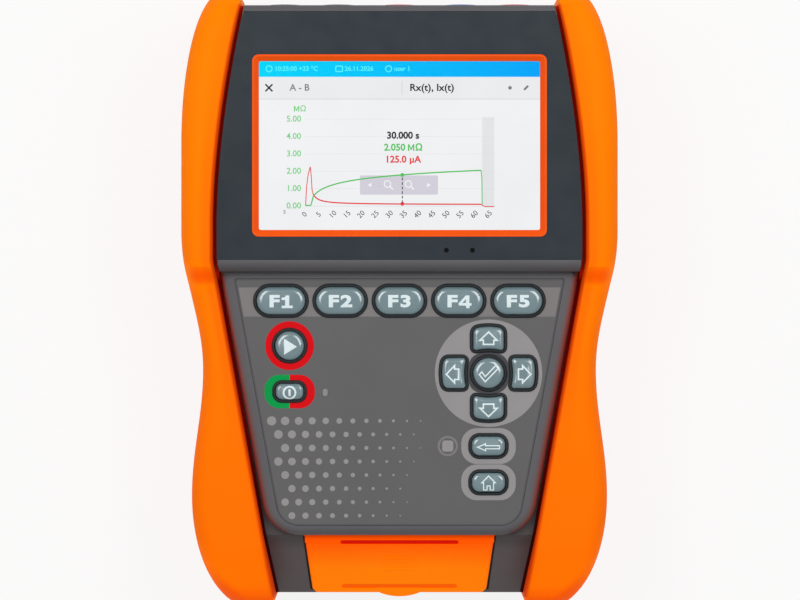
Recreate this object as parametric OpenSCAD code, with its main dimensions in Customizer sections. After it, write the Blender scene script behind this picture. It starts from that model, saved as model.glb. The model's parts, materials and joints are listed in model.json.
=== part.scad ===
// Hand-held insulation resistance tester, lying on its back.
// X runs across, Y from the flap end to the socket end, Z up out of the display.
// The origin is the middle of the footprint on the resting plane. Sizes are in millimetres.

/* [Outline] */
// Length from the bumper tips to where the shoulders start to round in
shoulder_run = 59.5; // [54:0.5:65]
// Length of the straight part of the shoulders
shoulder_flat = 34.5; // [31:0.5:38]
// Length of the fall from the shoulders to the waist
waist_run = 53.2; // [48:0.2:58]
// Length of the rise from the waist to the hips
hip_run = 48.6; // [44:0.2:53]
// Width of a bumper beside the face at the shoulders
shoulder_roll = 12.4; // [11.2:0.1:13.6]
// Width of a bumper beside the face at the waist
waist_roll = 11.9; // [10.8:0.1:13]
// Width of a bumper beside the face at the hips
hip_roll = 24.9; // [22.5:0.1:27.5]
// How far the tips at the socket end lie inside the shoulders
top_tip_in = 18.5; // [16:0.5:20.5]
// How far the tips at the flap end lie inside the hips
low_tip_in = 26.5; // [23:0.5:28]
// Width of the blunt end of each bumper tip
tip_t = 3; // [2:0.5:4]
// How far the bumpers pass the casing at the socket end
horn_top = 7; // [5:0.5:9]
// How far the bumpers pass the casing at the flap end
horn_low = 6.1; // [5:0.1:7.5]

/* [Face] */
// Widest face on each side of the screen
screen_margin = 17.6; // [16:0.1:19.4]
// Face on each side of the screen at the socket end
top_margin = 7; // [6.4:0.1:7.6]
// Opening between the bumpers at the flap end
face_low_w = 96.8; // [92:0.2:101]
// Length from the foot of the nose to where the opening narrows to the socket end
face_up = 20.3; // [18:0.1:23]
// Length from the foot of the nose to where the opening narrows to the flap end
taper_up = 5.8; // [5.2:0.1:6.6]
// Gap between the bumpers and the display head
crevice = 1.4; // [1:0.1:2]

/* [Heights] */
// Height of the keypad overlay over the resting plane
keypad_h = 66; // [62:0.5:70]
// Height of the display bezel over the keypad overlay
head_step = 8; // [7:0.1:9]
// Height of the joint between the two casings
split_h = 36; // [34:0.5:38]
// How far the bumpers stand over the faces beside them
bumper_rise = 3.5; // [2.5:0.5:4.5]
// Depth of the bumper roll over the casing
bumper_roll = 9; // [8:0.5:10]
// Thickness of the bumpers beside the casing
bumper_wall = 4; // [3:0.5:5]
// Thickness of the bumper lip under the casing
back_lip_t = 3; // [2.5:0.5:3.5]
// Width of the bumper lip under the casing
back_lip_w = 8; // [6:0.5:10]
// Gap between the casing back and the resting plane
back_gap = 1.5; // [1:0.1:2]
// Thickness of the casing walls
wall = 2.5; // [2:0.1:3]

/* [Display] */
// Width of the visible screen
window_w = 108; // [105:0.5:110]
// Length of the visible screen
window_l = 64.8; // [62:0.2:67]
// Length of the head between the frame and the socket end
head_top = 19; // [17:0.1:21]
// Length of the bezel between the frame and the nose
head_low = 8.5; // [7.8:0.1:9.4]
// Width of the coloured frame round the screen
frame_band = 2.6; // [2:0.1:3]
// Corner radius of the coloured frame
frame_r = 2.5; // [1.5:0.1:3.5]
// Thickness of the bezel panel
bezel_t = 1.5; // [1.2:0.1:2]
// Thickness of the touch glass
glass_t = 2.5; // [2:0.1:3]
// Rim of the display module at the sides of the screen
module_side = 4.5; // [4:0.1:5]
// Rim of the display module at the ends of the screen
module_end = 5.1; // [4.6:0.1:5.6]
// Thickness of the display module
module_t = 4.5; // [3.5:0.1:5]
// Rounding along the socket end of the head
head_round = 2.4; // [2:0.1:3]
// Length of the rounded nose between the head and the keypad
nose_run = 5.3; // [4.5:0.1:6]
// Diameter of the two sensor windows
sensor_d = 2; // [1.6:0.1:2.4]

/* [Keypad] */
// Gap between the keypad block and the bumpers at the nose
keypad_gap_top = 1.4; // [1.2:0.1:1.8]
// Gap between the keypad block and the bumpers at the flap end
keypad_gap_low = 2.1; // [1.8:0.1:2.4]
// Length from the home key to the lower edge of the keypad block
keypad_tail = 20.5; // [18.4:0.1:22.6]
// Corner radius of the keypad block
keypad_r = 14; // [11:0.5:16]
// Rounding along the edge of the keypad block
keypad_round = 3; // [2:0.25:3.5]
// Width of the rim beside the overlay
rim_w = 5.3; // [4.8:0.1:5.8]
// Width of the rim under the lower edge of the overlay
rim_low = 3.9; // [3.5:0.1:4.3]
// Thickness of the overlay
overlay_t = 0.8; // [0.6:0.1:1.2]
// Thickness of the deck under the overlay
deck_t = 2.2; // [1.8:0.1:2.6]
// Thickness of the rubber mat under the deck
mat_t = 1.5; // [1.2:0.1:2]
// Travel of the keys
key_travel = 1.2; // [0.8:0.1:1.6]
// How far the edge of a key stands over the overlay
key_rise = 1.7; // [1.6:0.1:2.4]
// Gap between a key and the mat round it
key_gap = 0.35; // [0.3:0.05:0.45]
// Width of the black surround of a key
key_border = 1.35; // [1.2:0.05:1.5]
// Length from the foot of the nose to the function keys
f_down = 9.8; // [9:0.1:11]
// Space between two function keys
f_space = 4.05; // [3.6:0.05:4.5]
// Rim of the overlay beside the row of function keys
f_margin = 5.6; // [5:0.1:6.2]
// Length of a function key
f_key_l = 10.6; // [9.6:0.1:11.6]
// Rim of the overlay beside the power key
side_margin = 6.5; // [5.9:0.1:7.1]
// Length from the function keys to the start key
start_down = 17.3; // [15.6:0.1:19]
// Diameter of the start key
start_d = 11.2; // [10.2:0.1:12.2]
// Length from the start key to the power key
power_down = 17.7; // [16:0.1:19.4]
// Width of the power key
power_w = 10.7; // [9.8:0.1:11.8]
// Length of the power key
power_l = 6.1; // [5.6:0.1:6.7]
// Rim of the overlay beside the arrow pad
pad_margin = 3.2; // [2.9:0.1:3.6]
// Length from the function keys to the middle of the arrow pad
pad_down = 27.9; // [26:0.1:30]
// Diameter of the enter key
enter_d = 11.8; // [10.8:0.1:12.8]
// Web between the enter key and the arrow keys
pad_web = 0.8; // [0.7:0.05:0.9]
// Length of an arrow key
arrow_l = 8.6; // [7.8:0.1:9.4]
// Width of an arrow key
arrow_w = 11.8; // [10.8:0.1:12.8]
// Length from the middle of the arrow pad to the back key
back_down = 28.1; // [26.6:0.1:30]
// Length from the back key to the home key
home_down = 14; // [12.8:0.1:15.2]
// Width of the back key and the home key
menu_w = 12.9; // [11.8:0.1:14]
// Length of the back key and the home key
menu_l = 7.4; // [6.8:0.1:8.2]

/* [Flap] */
// Length of the slope under the flap, seen from above
chin_run = 23.8; // [21.6:0.1:26]
// Width of the flap at its hinge
flap_top_w = 73.2; // [71:0.2:75]
// Width of the flap at its free edge
flap_low_w = 68; // [66:0.2:70]
// How far the flap stands over the slope
flap_rise = 1; // [0.8:0.1:1.2]
// How deep the flap is let into the slope
flap_sink = 1.6; // [1.4:0.1:1.8]
// Radius of the hinge pins of the flap
flap_pin_r = 1; // [0.8:0.05:1.1]
// Width of the finger tab of the flap
tab_w = 17.5; // [15:0.5:20]
// Width of the bay behind the flap
bay_w = 56; // [54:0.5:58]

/* [Sockets] */
// Place along X of the inner test sockets
socket_in_x = 24; // [23:0.5:25]
// Distance of the outer test sockets from the inner ones
socket_step = 21; // [19:0.5:23]
// Bore of the socket contacts
contact_bore = 4; // [3.9:0.1:4.2]
// Depth of the bore in a socket contact
contact_depth = 14; // [12:0.5:15]
// Diameter of the socket collars
collar_d = 15; // [14.4:0.2:16]
// How far the socket collars stand out of the panel
collar_rise = 2.5; // [2:0.25:3.5]

/* [Power] */
// Diameter of one battery cell
cell_d = 18.6; // [18.2:0.1:19]
// Length of the battery pack
pack_l = 67; // [65:0.5:69]
// Length from the flap end of the casing to the battery bay
pack_in = 35.5; // [32:0.5:38]
// Margin of the battery cover round its bay
cover_lap = 6; // [5.5:0.25:6.5]

/* [Hidden] */
// Curved faces
$fn = 48;
// Overlap of solids that are fused
bite = 0.5;
// Reach of a cutter past a face
past = 1;
// Offset of two sections that meet at a sharp step
hair = 0.01;
// Frame round the screen
frame_w = window_w + 2 * frame_band;
frame_l = window_l + 2 * frame_band;
frame_edge = 0.8;
frame_rise = 0.15;
window_r = 0.8;
// Ledge between the bezel and the nose
nose_ledge = 1;
// Lengths of the head, the keypad block and the whole
head_l = head_top + frame_l + head_low + nose_ledge + nose_run;
keypad_l = f_down + pad_down + back_down + home_down + keypad_tail;
overall_l = horn_top + head_l + keypad_l + chin_run + horn_low;
// Half of the length
tip_y = overall_l / 2;
// Ends of the casing at the sockets and at the flap
casing_top_y = tip_y - horn_top;
casing_low_y = horn_low - tip_y;
// Places along Y from the socket end to the flap end
display_y = casing_top_y - head_top - frame_l / 2;
bezel_low_y = display_y - frame_l / 2 - head_low;
head_low_y = casing_top_y - head_l;
f_y = head_low_y - f_down;
start_y = f_y - start_down;
power_y = start_y - power_down;
pad_y = f_y - pad_down;
back_y = pad_y - back_down;
home_y = back_y - home_down;
keypad_low_y = home_y - keypad_tail;
// Opening between the bumpers
face_w = window_w + 2 * screen_margin;
face_top_w = window_w + 2 * top_margin;
face_y = head_low_y + face_up;
taper_y = head_low_y + taper_up;
// Outline of the bumpers
shoulder_y = tip_y - shoulder_run;
shoulder_low_y = shoulder_y - shoulder_flat;
waist_y = shoulder_low_y - waist_run;
hip_y = waist_y - hip_run;
shoulder_w = face_w + 2 * shoulder_roll;
waist_w = 2 * (face_half(waist_y) + waist_roll);
hip_w = 2 * (face_half(hip_y) + hip_roll);
// Keypad block
keypad_top_w = 2 * (face_half(head_low_y) - keypad_gap_top);
keypad_low_w = 2 * (face_half(keypad_low_y) - keypad_gap_low);
screen_h = keypad_h + head_step;
// Function keys
f_row_w = 2 * (keypad_half(f_y) - rim_w - f_margin - key_border);
f_key_w = (f_row_w - 4 * f_space) / 5;
f_pitch = f_key_w + f_space;
// Start key and power key
side_x = rim_w + side_margin + key_border + power_w / 2 - keypad_half(power_y);
// Arrow pad
arrow_in = enter_d / 2 + 2 * key_border + pad_web;
arrow_out = arrow_in + arrow_l;
pad_x = keypad_half(pad_y) - rim_w - pad_margin - arrow_out - key_border;
// Place of the step in the casing under the bumpers
step_back = 3.3;
step_y = head_low_y + step_back;
// Ends of the ramp of the bumper crown beside the step
ramp_low_y = step_y - 7.5;
ramp_top_y = step_y + 4.5;
// Stations of the casing outline on the slope, below the ramp, on its two parts and above it
chin_n = 4;
low_n = 14;
ramp_low_n = 5;
ramp_top_n = 3;
top_n = 15;
step_i = chin_n + low_n + ramp_low_n;
// Start and depth of the fall of the bumper crown towards the tips
top_fall_y = casing_top_y - 13;
top_fall = 16;
low_fall_y = casing_low_y + 20;
low_fall = 20;
// Rise of the bumper underside at the tips
keel_rise = 9;
// Roundings of the bumper section: outer top, outer bottom and inner edge
crown_rx = 7.5;
crown_rz = 9;
keel_r = 5;
edge_r = 1.8;
// Height of the inner edge of a bumper under its crown
edge_drop = 0.5;
// Height of the casing beside the keypad
wing_low_h = keypad_h + bumper_rise - bumper_roll;
// Height of the casing beside the display head
wing_high_h = screen_h + bumper_rise - bumper_roll;
// Slope of the casing under the flap
chin_angle = atan2(wing_low_h - split_h, keypad_low_y - casing_low_y);
// Seat of the bezel
seat_h = screen_h - bezel_t;
// Underside of the head plate and front of the display module
plate_h = seat_h - glass_t;
// Back of the display module
module_h = plate_h - module_t;
// Top of the deck
deck_h = keypad_h - overlay_t;
// Underside of the deck and top of the mat
mat_h = deck_h - deck_t;
// Underside of the mat and top of the key flanges
flange_h = mat_h - mat_t;
// Touch glass and display module
glass_lap = 0.7;
glass_w = frame_w + 2 * glass_lap;
glass_l = frame_l + 2 * glass_lap;
module_w = window_w + 2 * module_side;
module_l = window_l + 2 * module_end;
// Rounding along the sides of the head and stations along it
head_edge = 0.5;
head_n = 16;
// Sensor windows: places along X, and distance from the lower edge of the bezel
sensor_xs = [18, 28];
sensor_up = 3.3;
// Fit of plates in their seats
fit = 0.05;
// Reach of the keypad block under the nose
keypad_under = 4.6;
// Overlay: gap to the nose, corner radius and fit
overlay_top_gap = 1.3;
overlay_r = 8.5;
overlay_fit = 0.15;
// Hollow under the keypad: walls at the sides, at the flap end and at the nose, and corner radius
hollow_side = 3;
hollow_low = 5;
hollow_top = 0.5;
hollow_r = 8;
// Corner radius of the plates towards the nose
nose_r = 1;
// Thickness, lip and wall of the mat under the keys
mat_fit = 0.3;
mat_skirt = 1.8;
mat_lip = 0.1;
mat_drop = 0.3;
// Corner radii of the power key, the menu keys and the arrow keys, and bow of the arrow keys
power_r = 2.4;
menu_r = 3;
arrow_in_r = 1.2;
arrow_out_r = 2.2;
arrow_bow = 20;
// Crown of a key: share of its outline against height over its edge
crown_steps = [[1, -0.9], [0.975, -0.45], [0.91, -0.1], [0.5, 0.3]];
// Width of the flange of a key, and radius of its plunger
flange_lip = 1;
plunger_r = 2;
// Thickness of a key flange
flange_t = 1.3;
// Length of a key plunger
plunger_l = 1.3;
// Thickness and radius of a contact pad
pad_t = 0.1;
contact_pad_r = 2.4;
// Power light: place, size, corner radius and fit
led_x = side_x + 13.7;
led_y = power_y - 0.3;
led_w = 2;
led_l = 3;
led_r = 0.95;
led_fit = 0.1;
// Top of the keypad board
keypad_board_h = flange_h - flange_t - plunger_l - key_travel - 2 * pad_t;
// Thickness of every circuit board
board_t = 1.6;
// Inside of the casing back
floor_h = back_gap + wall;
// Battery bay and cover
cells = 4;
pack_room = 2;
bay_pack_w = cells * cell_d + pack_room;
bay_pack_l = pack_l + pack_room;
bay_pack_h = floor_h + cell_d + pack_room;
cover_w = bay_pack_w + 2 * cover_lap;
cover_l = bay_pack_l + 2 * cover_lap;
cover_r = 3;
bay_r = 1;
pack_y = casing_low_y + pack_in + pack_room / 2 + pack_l / 2;
cover_fit = 0.2;
cover_screw_x = cover_w / 2 - cover_lap / 2;
cover_screw_y = cover_l / 2 - cover_lap / 2;
cover_boss_r = 3.4;
cover_boss_l = 11;
cover_head_r = 2.7;
cover_head_t = 1.6;
// Small screws: post, pilot hole, clearance hole, shank and head
post_r = 2.6;
pilot_r = 1.25;
pilot_l = 5;
hole_r = 1.4;
shank_r = 1.2;
small_head_r = 2.3;
small_head_t = 1.7;
small_screw_l = 5.5;
// Main board
board_w = 112;
board_l = 150;
board_clear = 2.9;
board_h = bay_pack_h + wall + board_clear;
board_r = 2;
board_top = board_h + board_t;
// Places and radius of the main board posts
post_in = 6;
post_x = board_w / 2 - post_in;
post_y = board_l / 2 - post_in;
board_post_r = 3.2;
// Parts on the main board: chips as middle and size, transformer, relays and buzzer
chips = [[[22, -2], [20, 20, 1.8]], [[21, -29], [14, 14, 1.4]], [[-14, -16], [12, 12, 1.2]]];
transformer_at = [-29, 44];
core = [32, 26, 21];
core_leg = 7;
winding_l = 22;
winding_r = 4;
relay_at = [13, 48];
relay = [10, 28, 12];
relay_pitch = 14;
buzzer_at = [36, -54, 0];
buzzer_r = 7;
buzzer_t = 8;
buzzer_hole_r = 1.2;
buzzer_hole_l = 2;
// Case screws: places, seat, wells, holes, bosses and screws
case_screw_in = 13.5;
case_screw_ys = [casing_top_y - 24.5, head_low_y + 3.8, casing_low_y + 21.4];
case_screw_places = [for (y = case_screw_ys) [casing_half(y) - case_screw_in, y]];
case_screw_seat = 27;
case_well_r = 3.2;
case_hole_r = 1.7;
case_pilot_r = 1.55;
case_pilot_l = 15;
case_boss_r = 4.6;
case_post_r = 4.2;
case_head_r = 2.9;
case_head_t = 2.4;
case_shank_r = 1.5;
case_drive_r = 1.25;
case_drive_l = 1.5;
// Seal between the casings: distances of its two sides from the outside, and depth
seal_out = 0.65;
seal_in = 1.85;
seal_t = 0.8;
seal_end = 4;
// Places of the posts that carry the keypad board
top_post_y = f_y - f_key_l / 2 - 6.4;
top_post_x = keypad_half(top_post_y) - hollow_side - 5.1;
low_post_y = keypad_low_y + 11.6;
keypad_posts = [
    [-top_post_x, top_post_y],
    [top_post_x, top_post_y],
    [0, top_post_y - 9.2],
    [side_x + 5.3, low_post_y],
    [pad_x - 16.3, low_post_y]
];
// Places of the posts that carry the display bracket
bracket_in = 8.5;
bracket_x = module_w / 2 - bracket_in;
bracket_y = module_l / 2 + 4;
bracket_post_r = 2.8;
bracket_lap = 3.5;
bracket_t = 1.2;
bracket_window_w = 84;
bracket_window_l = 46;
bracket_r = 2;
bracket_window_r = 5;
// Test sockets
socket_out_x = socket_in_x + socket_step;
socket_xs = [-socket_out_x, -socket_in_x, 0, socket_in_x, socket_out_x];
panel_side = 3.5;
panel_end = 6.5;
panel_w = 2 * (socket_out_x + collar_d / 2 + panel_side);
panel_l = collar_d + 2 * panel_end;
panel_lip = 2;
panel_in = 0.3;
panel_y = casing_top_y - panel_in;
collar_bore_r = 4.1;
collar_round = 1;
collar_bevel = 0.4;
body_r = 5.9;
body_l = 20;
body_floor = 3;
body_hole_r = 1.6;
body_fit = 0.1;
contact_r = 2.8;
contact_sink = 2;
contact_foot = 0.9;
contact_tail_r = 1.5;
contact_tail_l = 9;
nut_r = 8.4;
nut_t = 3.5;
nut_fit = 0.05;
// Flap, in the frame of the slope
hinge_in = 2.6;
barrel_under = 1.6;
barrel_r = flap_rise + barrel_under;
hinge_z = -barrel_under;
flap_short = 1.9;
flap_l = (keypad_low_y - casing_low_y) / cos(chin_angle) - flap_short;
flap_gap = 0.3;
flap_edge = 0.8;
flap_r = 1.5;
flap_top_r = 1;
pin_gap = 0.06;
pin_l = 3;
pin_end = 0.4;
tab_l = 3;
tab_r = (tab_w * tab_w / 4 + tab_l * tab_l) / (2 * tab_l);
tab_rise = 0.2;
// Grooves across the flap: half lengths, widths and depth
hinge_groove = [23, 0.9];
tab_groove = [22, 1];
groove_d = 0.5;
// Bay behind the flap
bay_depth = 7.4;
bay_wall_y = keypad_low_y - bay_depth;
bay_wall_t = 2.2;
bay_floor_h = split_h + 1.5;
port_room_w = bay_w + 4;
port_room_h = 11;
port_up = 4.6;
usb_h = bay_floor_h + port_up;
usb_w = 13.1;
usb_t = 5.7;
usb_skin = 0.35;
usb_l = 14;
usb_depth = 10;
tongue_w = 11.2;
tongue_t = 1.8;
jack_r = 4;
jack_bore_r = 2.8;
jack_pin_r = 1;
jack_w = 9;
port_fit = 0.15;
port_board_h = usb_h - usb_t / 2;
port_board_w = bay_w - 2;
port_board_l = 13.3;
port_x = 13;
port_post_x = port_board_w / 2 - 4;
port_posts = [-port_post_x, port_post_x];
port_post_y = bay_wall_y + bay_wall_t + 7.3;

// Colours
dark_grey = [0.30, 0.30, 0.31];
mid_grey = [0.40, 0.40, 0.41];
black = [0.06, 0.06, 0.07];
orange = [1.0, 0.47, 0.0];
red_orange = [0.96, 0.33, 0.06];
key_grey = [0.46, 0.54, 0.56];
board_green = [0.05, 0.30, 0.16];
brass = [0.80, 0.65, 0.30];
steel = [0.70, 0.71, 0.73];

// Shape helpers

// Soft step from 0 to 1
function ease(t) = (1 - cos(180 * t)) / 2;
// Fall of a quarter of an ellipse, from 0 to 1
function quarter(t) = 1 - sqrt(max(0, 1 - t * t));
// Even places from a to b
function span(a, b, n) = [for (i = [0:n]) a + (b - a) * i / n];
// Places from a to b that crowd towards b
function crowd(a, b, n) = [for (i = [0:n]) a + (b - a) * sin(90 * i / n)];
// Even places after a, up to b
function after(a, b, n) = [for (i = [1:n]) a + (b - a) * i / n];
function unit(v) = v / norm(v);
function mean(points) = [for (k = [0:2]) [for (p = points) p[k]] * [for (p = points) 1] / len(points)];
function lift(points, z) = [for (p = points) [p[0], p[1], z]];
function shift(points, by) = [for (p = points) p + by];
function turn(points, a) = [
    for (p = points) [p[0] * cos(a) - p[1] * sin(a), p[0] * sin(a) + p[1] * cos(a)]
];

// Arc that rounds the corner b between a and c
function corner_arc(a, b, c, r, n) = let (
    u = unit(a - b),
    v = unit(c - b),
    half = acos(max(-1, min(1, u * v))) / 2,
    centre = b + unit(u + v) * r / sin(half),
    start = b + u * r / tan(half) - centre,
    finish = b + v * r / tan(half) - centre,
    from = atan2(start[1], start[0]),
    raw = atan2(finish[1], finish[0]) - from,
    sweep = raw > 180 ? raw - 360 : raw < -180 ? raw + 360 : raw
) [for (i = [0:n]) centre + r * [cos(from + sweep * i / n), sin(from + sweep * i / n)]];

// Outline with rounded corners; a radius of 0 leaves a corner as it is
function rounded(points, radii, n) = let (m = len(points)) [
    for (i = [0:m - 1])
        each radii[i] > 0
            ? corner_arc(points[(i + m - 1) % m], points[i], points[(i + 1) % m], radii[i], n)
            : [points[i]]
];

// Corners of a convex outline moved in by d
function moved_in(points, d) = let (m = len(points)) [
    for (i = [0:m - 1]) let (
        u = unit(points[(i + m - 1) % m] - points[i]),
        v = unit(points[(i + 1) % m] - points[i])
    ) points[i] + unit(u + v) * d / sin(acos(u * v) / 2)
];

function box_outline(w, l, r, n) = rounded(
    [[-w / 2, -l / 2], [w / 2, -l / 2], [w / 2, l / 2], [-w / 2, l / 2]], [r, r, r, r], n);

// Right side mirrored to the left into a closed outline
function both_sides(right) = let (n = len(right)) concat(
    right, [for (i = [0:n - 1]) [-right[n - 1 - i][0], right[n - 1 - i][1]]]);

// Skin over rings of equal length, closed at both ends
module loft(rings) {
    m = len(rings);
    n = len(rings[0]);
    points = concat([for (r = rings) each r], [mean(rings[0]), mean(rings[m - 1])]);
    sides = [
        for (j = [0:m - 2]) for (i = [0:n - 1]) let (
            a = j * n + i,
            b = j * n + (i + 1) % n
        ) each [[a, a + n, b + n], [a, b + n, b]]
    ];
    low_cap = [for (i = [0:n - 1]) [i, (i + 1) % n, m * n]];
    top_cap = [for (i = [0:n - 1]) [(m - 1) * n + (i + 1) % n, (m - 1) * n + i, m * n + 1]];
    polyhedron(points = points, faces = concat(sides, low_cap, top_cap));
}

module prism(points, z0, z1) {
    translate([0, 0, z0])
        linear_extrude(height = z1 - z0)
            polygon(points);
}

module block(x0, x1, y0, y1, z0, z1) {
    translate([x0, y0, z0])
        cube([x1 - x0, y1 - y0, z1 - z0]);
}

module rod(x, y, r, z0, z1) {
    translate([x, y, z0])
        cylinder(r = r, h = z1 - z0);
}

// Outline in Y and Z drawn out along X
module across(points, x0, x1) {
    translate([x0, 0, 0])
        rotate([90, 0, 90])
            linear_extrude(height = x1 - x0)
                polygon(points);
}

// Round piece turned about an axis along Y; the profile is radius against distance towards +Y
module turned_y(x, y, z, profile) {
    translate([x, y, z])
        rotate([-90, 0, 0])
            rotate_extrude()
                polygon(profile);
}

// Profile of a plain round bar
function bar(r, from, to) = [[0, from], [r, from], [r, to], [0, to]];

// Frame of the slope: origin at its upper edge, Y up the slope, Z out of it
module on_chin() {
    translate([0, keypad_low_y, wing_low_h])
        rotate([chin_angle, 0, 0])
            children();
}

module four_places(x, y) {
    for (sx = [-1, 1])
        for (sy = [-1, 1])
            translate([sx * x, sy * y, 0])
                children();
}

module case_screw_at() {
    for (p = case_screw_places)
        for (s = [-1, 1])
            translate([s * p[0], p[1], 0])
                children();
}

// Outlines of the body

// Outer half width of the bumpers
function outer_half(y) =
    y >= shoulder_y ? shoulder_w / 2
        - (top_tip_in - tip_t / 2) * quarter((y - shoulder_y) / (tip_y - shoulder_y)) :
    y >= shoulder_low_y ? shoulder_w / 2 :
    y >= waist_y ? waist_w / 2
        + (shoulder_w - waist_w) / 2 * ease((y - waist_y) / (shoulder_low_y - waist_y)) :
    y >= hip_y ? hip_w / 2 - (hip_w - waist_w) / 2 * ease((y - hip_y) / (waist_y - hip_y)) :
    hip_w / 2 - (low_tip_in - tip_t / 2) * quarter((hip_y - y) / (hip_y + tip_y));

// Half of the opening between the bumpers
function face_half(y) =
    y >= face_y ? face_w / 2
        - (face_w - face_top_w) / 2 * pow((y - face_y) / (casing_top_y - face_y), 1.75) :
    y >= taper_y ? face_w / 2 :
    face_w / 2 - (face_w - face_low_w) / 2 * (taper_y - y) / (taper_y - casing_low_y);

// Inner half width of the bumpers, rounded towards the tips
function inner_half(y) =
    y > casing_top_y ? face_top_w / 2
        + (shoulder_w / 2 - top_tip_in - tip_t / 2 - face_top_w / 2)
        * quarter((y - casing_top_y) / horn_top) :
    y < casing_low_y ? face_low_w / 2
        + (hip_w / 2 - low_tip_in - tip_t / 2 - face_low_w / 2)
        * quarter((casing_low_y - y) / horn_low) :
    face_half(y);

// Half width of the casing inside the bumpers
function casing_half(y) = outer_half(y) - bumper_wall;

// Height of the casing under the bumper roll
function wing_h(y) =
    y >= step_y ? wing_high_h :
    y >= keypad_low_y ? wing_low_h :
    wing_low_h - (keypad_low_y - y) * tan(chin_angle);

// Places along Y of the corners of the casing outline, closer together at the step
function casing_ys(end_in) = concat(
    span(casing_low_y + end_in, keypad_low_y, chin_n),
    after(keypad_low_y, ramp_low_y, low_n),
    after(ramp_low_y, step_y, ramp_low_n),
    after(step_y, ramp_top_y, ramp_top_n),
    after(ramp_top_y, casing_top_y - end_in, top_n));

function casing_outline(side_in, end_in) = both_sides(
    [for (y = casing_ys(end_in)) [casing_half(y) - side_in, y]]);

// Part of that outline between two places along Y
function casing_part(side_in, low_y, high_y) = both_sides([
    for (y = concat([low_y], [for (y = casing_ys(0)) if (y > low_y && y < high_y) y], [high_y]))
        [casing_half(y) - side_in, y]
]);

// Part of that outline from low_y to the socket end
function casing_top_part(side_in, end_in, low_y) = both_sides([
    for (y = concat([low_y], [for (y = casing_ys(end_in)) if (y > low_y + hair) y]))
        [casing_half(y) - side_in, y]
]);

// Bumpers

// Height of the bumper crown
function crown_h(y) =
    y > top_fall_y ? screen_h + bumper_rise
        - top_fall * quarter((y - top_fall_y) / (tip_y - top_fall_y)) :
    y >= ramp_top_y ? screen_h + bumper_rise :
    y >= ramp_low_y ? keypad_h + bumper_rise
        + (screen_h - keypad_h) * ease((y - ramp_low_y) / (ramp_top_y - ramp_low_y)) :
    y >= low_fall_y ? keypad_h + bumper_rise :
    keypad_h + bumper_rise - low_fall * quarter((low_fall_y - y) / (low_fall_y + tip_y));

// Height of the underside of the bumper, raised towards the tips
function keel_h(y) =
    y > casing_top_y ? keel_rise * quarter((y - casing_top_y) / horn_top) :
    y < casing_low_y ? keel_rise * quarter((casing_low_y - y) / horn_low) : 0;

// Closed section of the right bumper at one place; inside the casing it has a pocket
function bumper_ring(y, cased, wing) = let (
    xo = outer_half(y),
    xi = inner_half(y),
    w = xo - xi,
    zf = crown_h(y),
    zb = keel_h(y) - bite,
    rb = min(keel_r, 0.45 * w),
    rx = min(crown_rx, 0.5 * w),
    rz = crown_rz,
    re = min(edge_r, 0.2 * w),
    ze = zf - edge_drop - re,
    xc = xo - bumper_wall,
    xb = xc - back_lip_w,
    mid = (zf + zb) / 2
) concat(
    cased
        ? [[xb, y, zb], [xb, y, back_lip_t], [xc, y, back_lip_t], [xc, y, wing], [xi, y, wing]]
        : [for (z = span(zb, mid, 4)) [xi, y, z]],
    [for (i = [0:2]) [xi + re * (1 - cos(45 * i)), y, ze + re * sin(45 * i)]],
    [for (i = [0:5]) [xo - rx + rx * sin(18 * i), y, zf - rz + rz * cos(18 * i)]],
    [for (i = [0:3]) [xo - rb + rb * cos(30 * i), y, zb + rb - rb * sin(30 * i)]]
);

module bumper_body() {
    tail = crowd(casing_low_y, -tip_y, 5);
    low = [for (i = [5:-1:1]) bumper_ring(tail[i], false, 0)];
    low_end = [
        bumper_ring(casing_low_y - 3 * hair, false, 0),
        bumper_ring(casing_low_y - hair, true, wing_h(casing_low_y - hair))
    ];
    ys = casing_ys(0);
    middle = [
        for (i = [1:len(ys) - 2])
            each i == step_i
                ? [
                    bumper_ring(step_y - 3 * hair, true, wing_low_h),
                    bumper_ring(step_y - hair, true, wing_high_h)
                ]
                : [bumper_ring(ys[i], true, wing_h(ys[i]))]
    ];
    top_end = [
        bumper_ring(casing_top_y + hair, true, wing_high_h),
        bumper_ring(casing_top_y + 3 * hair, false, 0)
    ];
    head = crowd(casing_top_y, tip_y, 5);
    top = [for (i = [1:5]) bumper_ring(head[i], false, 0)];
    difference() {
        loft(concat(low, low_end, middle, top_end, top));
        // the lip is cut flat on the resting plane
        block(0, shoulder_w, -tip_y - past, tip_y + past, -past, 0);
    }
}

module right_bumper() {
    color(orange)
        bumper_body();
}

module left_bumper() {
    color(orange)
        mirror([1, 0, 0])
            bumper_body();
}

// Display head and keypad block

function head_fall(z, depth) = z <= screen_h - depth ? 0 : quarter((z - screen_h + depth) / depth);

// Outline of the head, moved in by its side, its socket end and its nose end
function head_outline(side_in, top_in, low_in) = both_sides(
    [
        for (y = span(head_low_y + low_in, casing_top_y - top_in, head_n))
            [face_half(y) - crevice - side_in, y]
    ]);

function head_ring(z) = lift(
    head_outline(
        head_edge * head_fall(z, head_edge),
        head_round * head_fall(z, head_round),
        nose_run * head_fall(z, screen_h - keypad_h)),
    z);

// Half width of the keypad block
function keypad_half(y) = keypad_low_w / 2
    + (keypad_top_w - keypad_low_w) / 2 * (y - keypad_low_y) / (head_low_y - keypad_low_y);

function keypad_corners(side_in, low_in, top_y) = let (low_y = keypad_low_y + low_in) [
    [side_in - keypad_half(low_y), low_y],
    [keypad_half(low_y) - side_in, low_y],
    [keypad_half(top_y) - side_in, top_y],
    [side_in - keypad_half(top_y), top_y]
];

function keypad_ring(d, z) = lift(
    rounded(
        moved_in(keypad_corners(0, 0, head_low_y + keypad_under), d),
        [keypad_r - d, keypad_r - d, nose_r, nose_r], 6),
    z);

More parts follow.
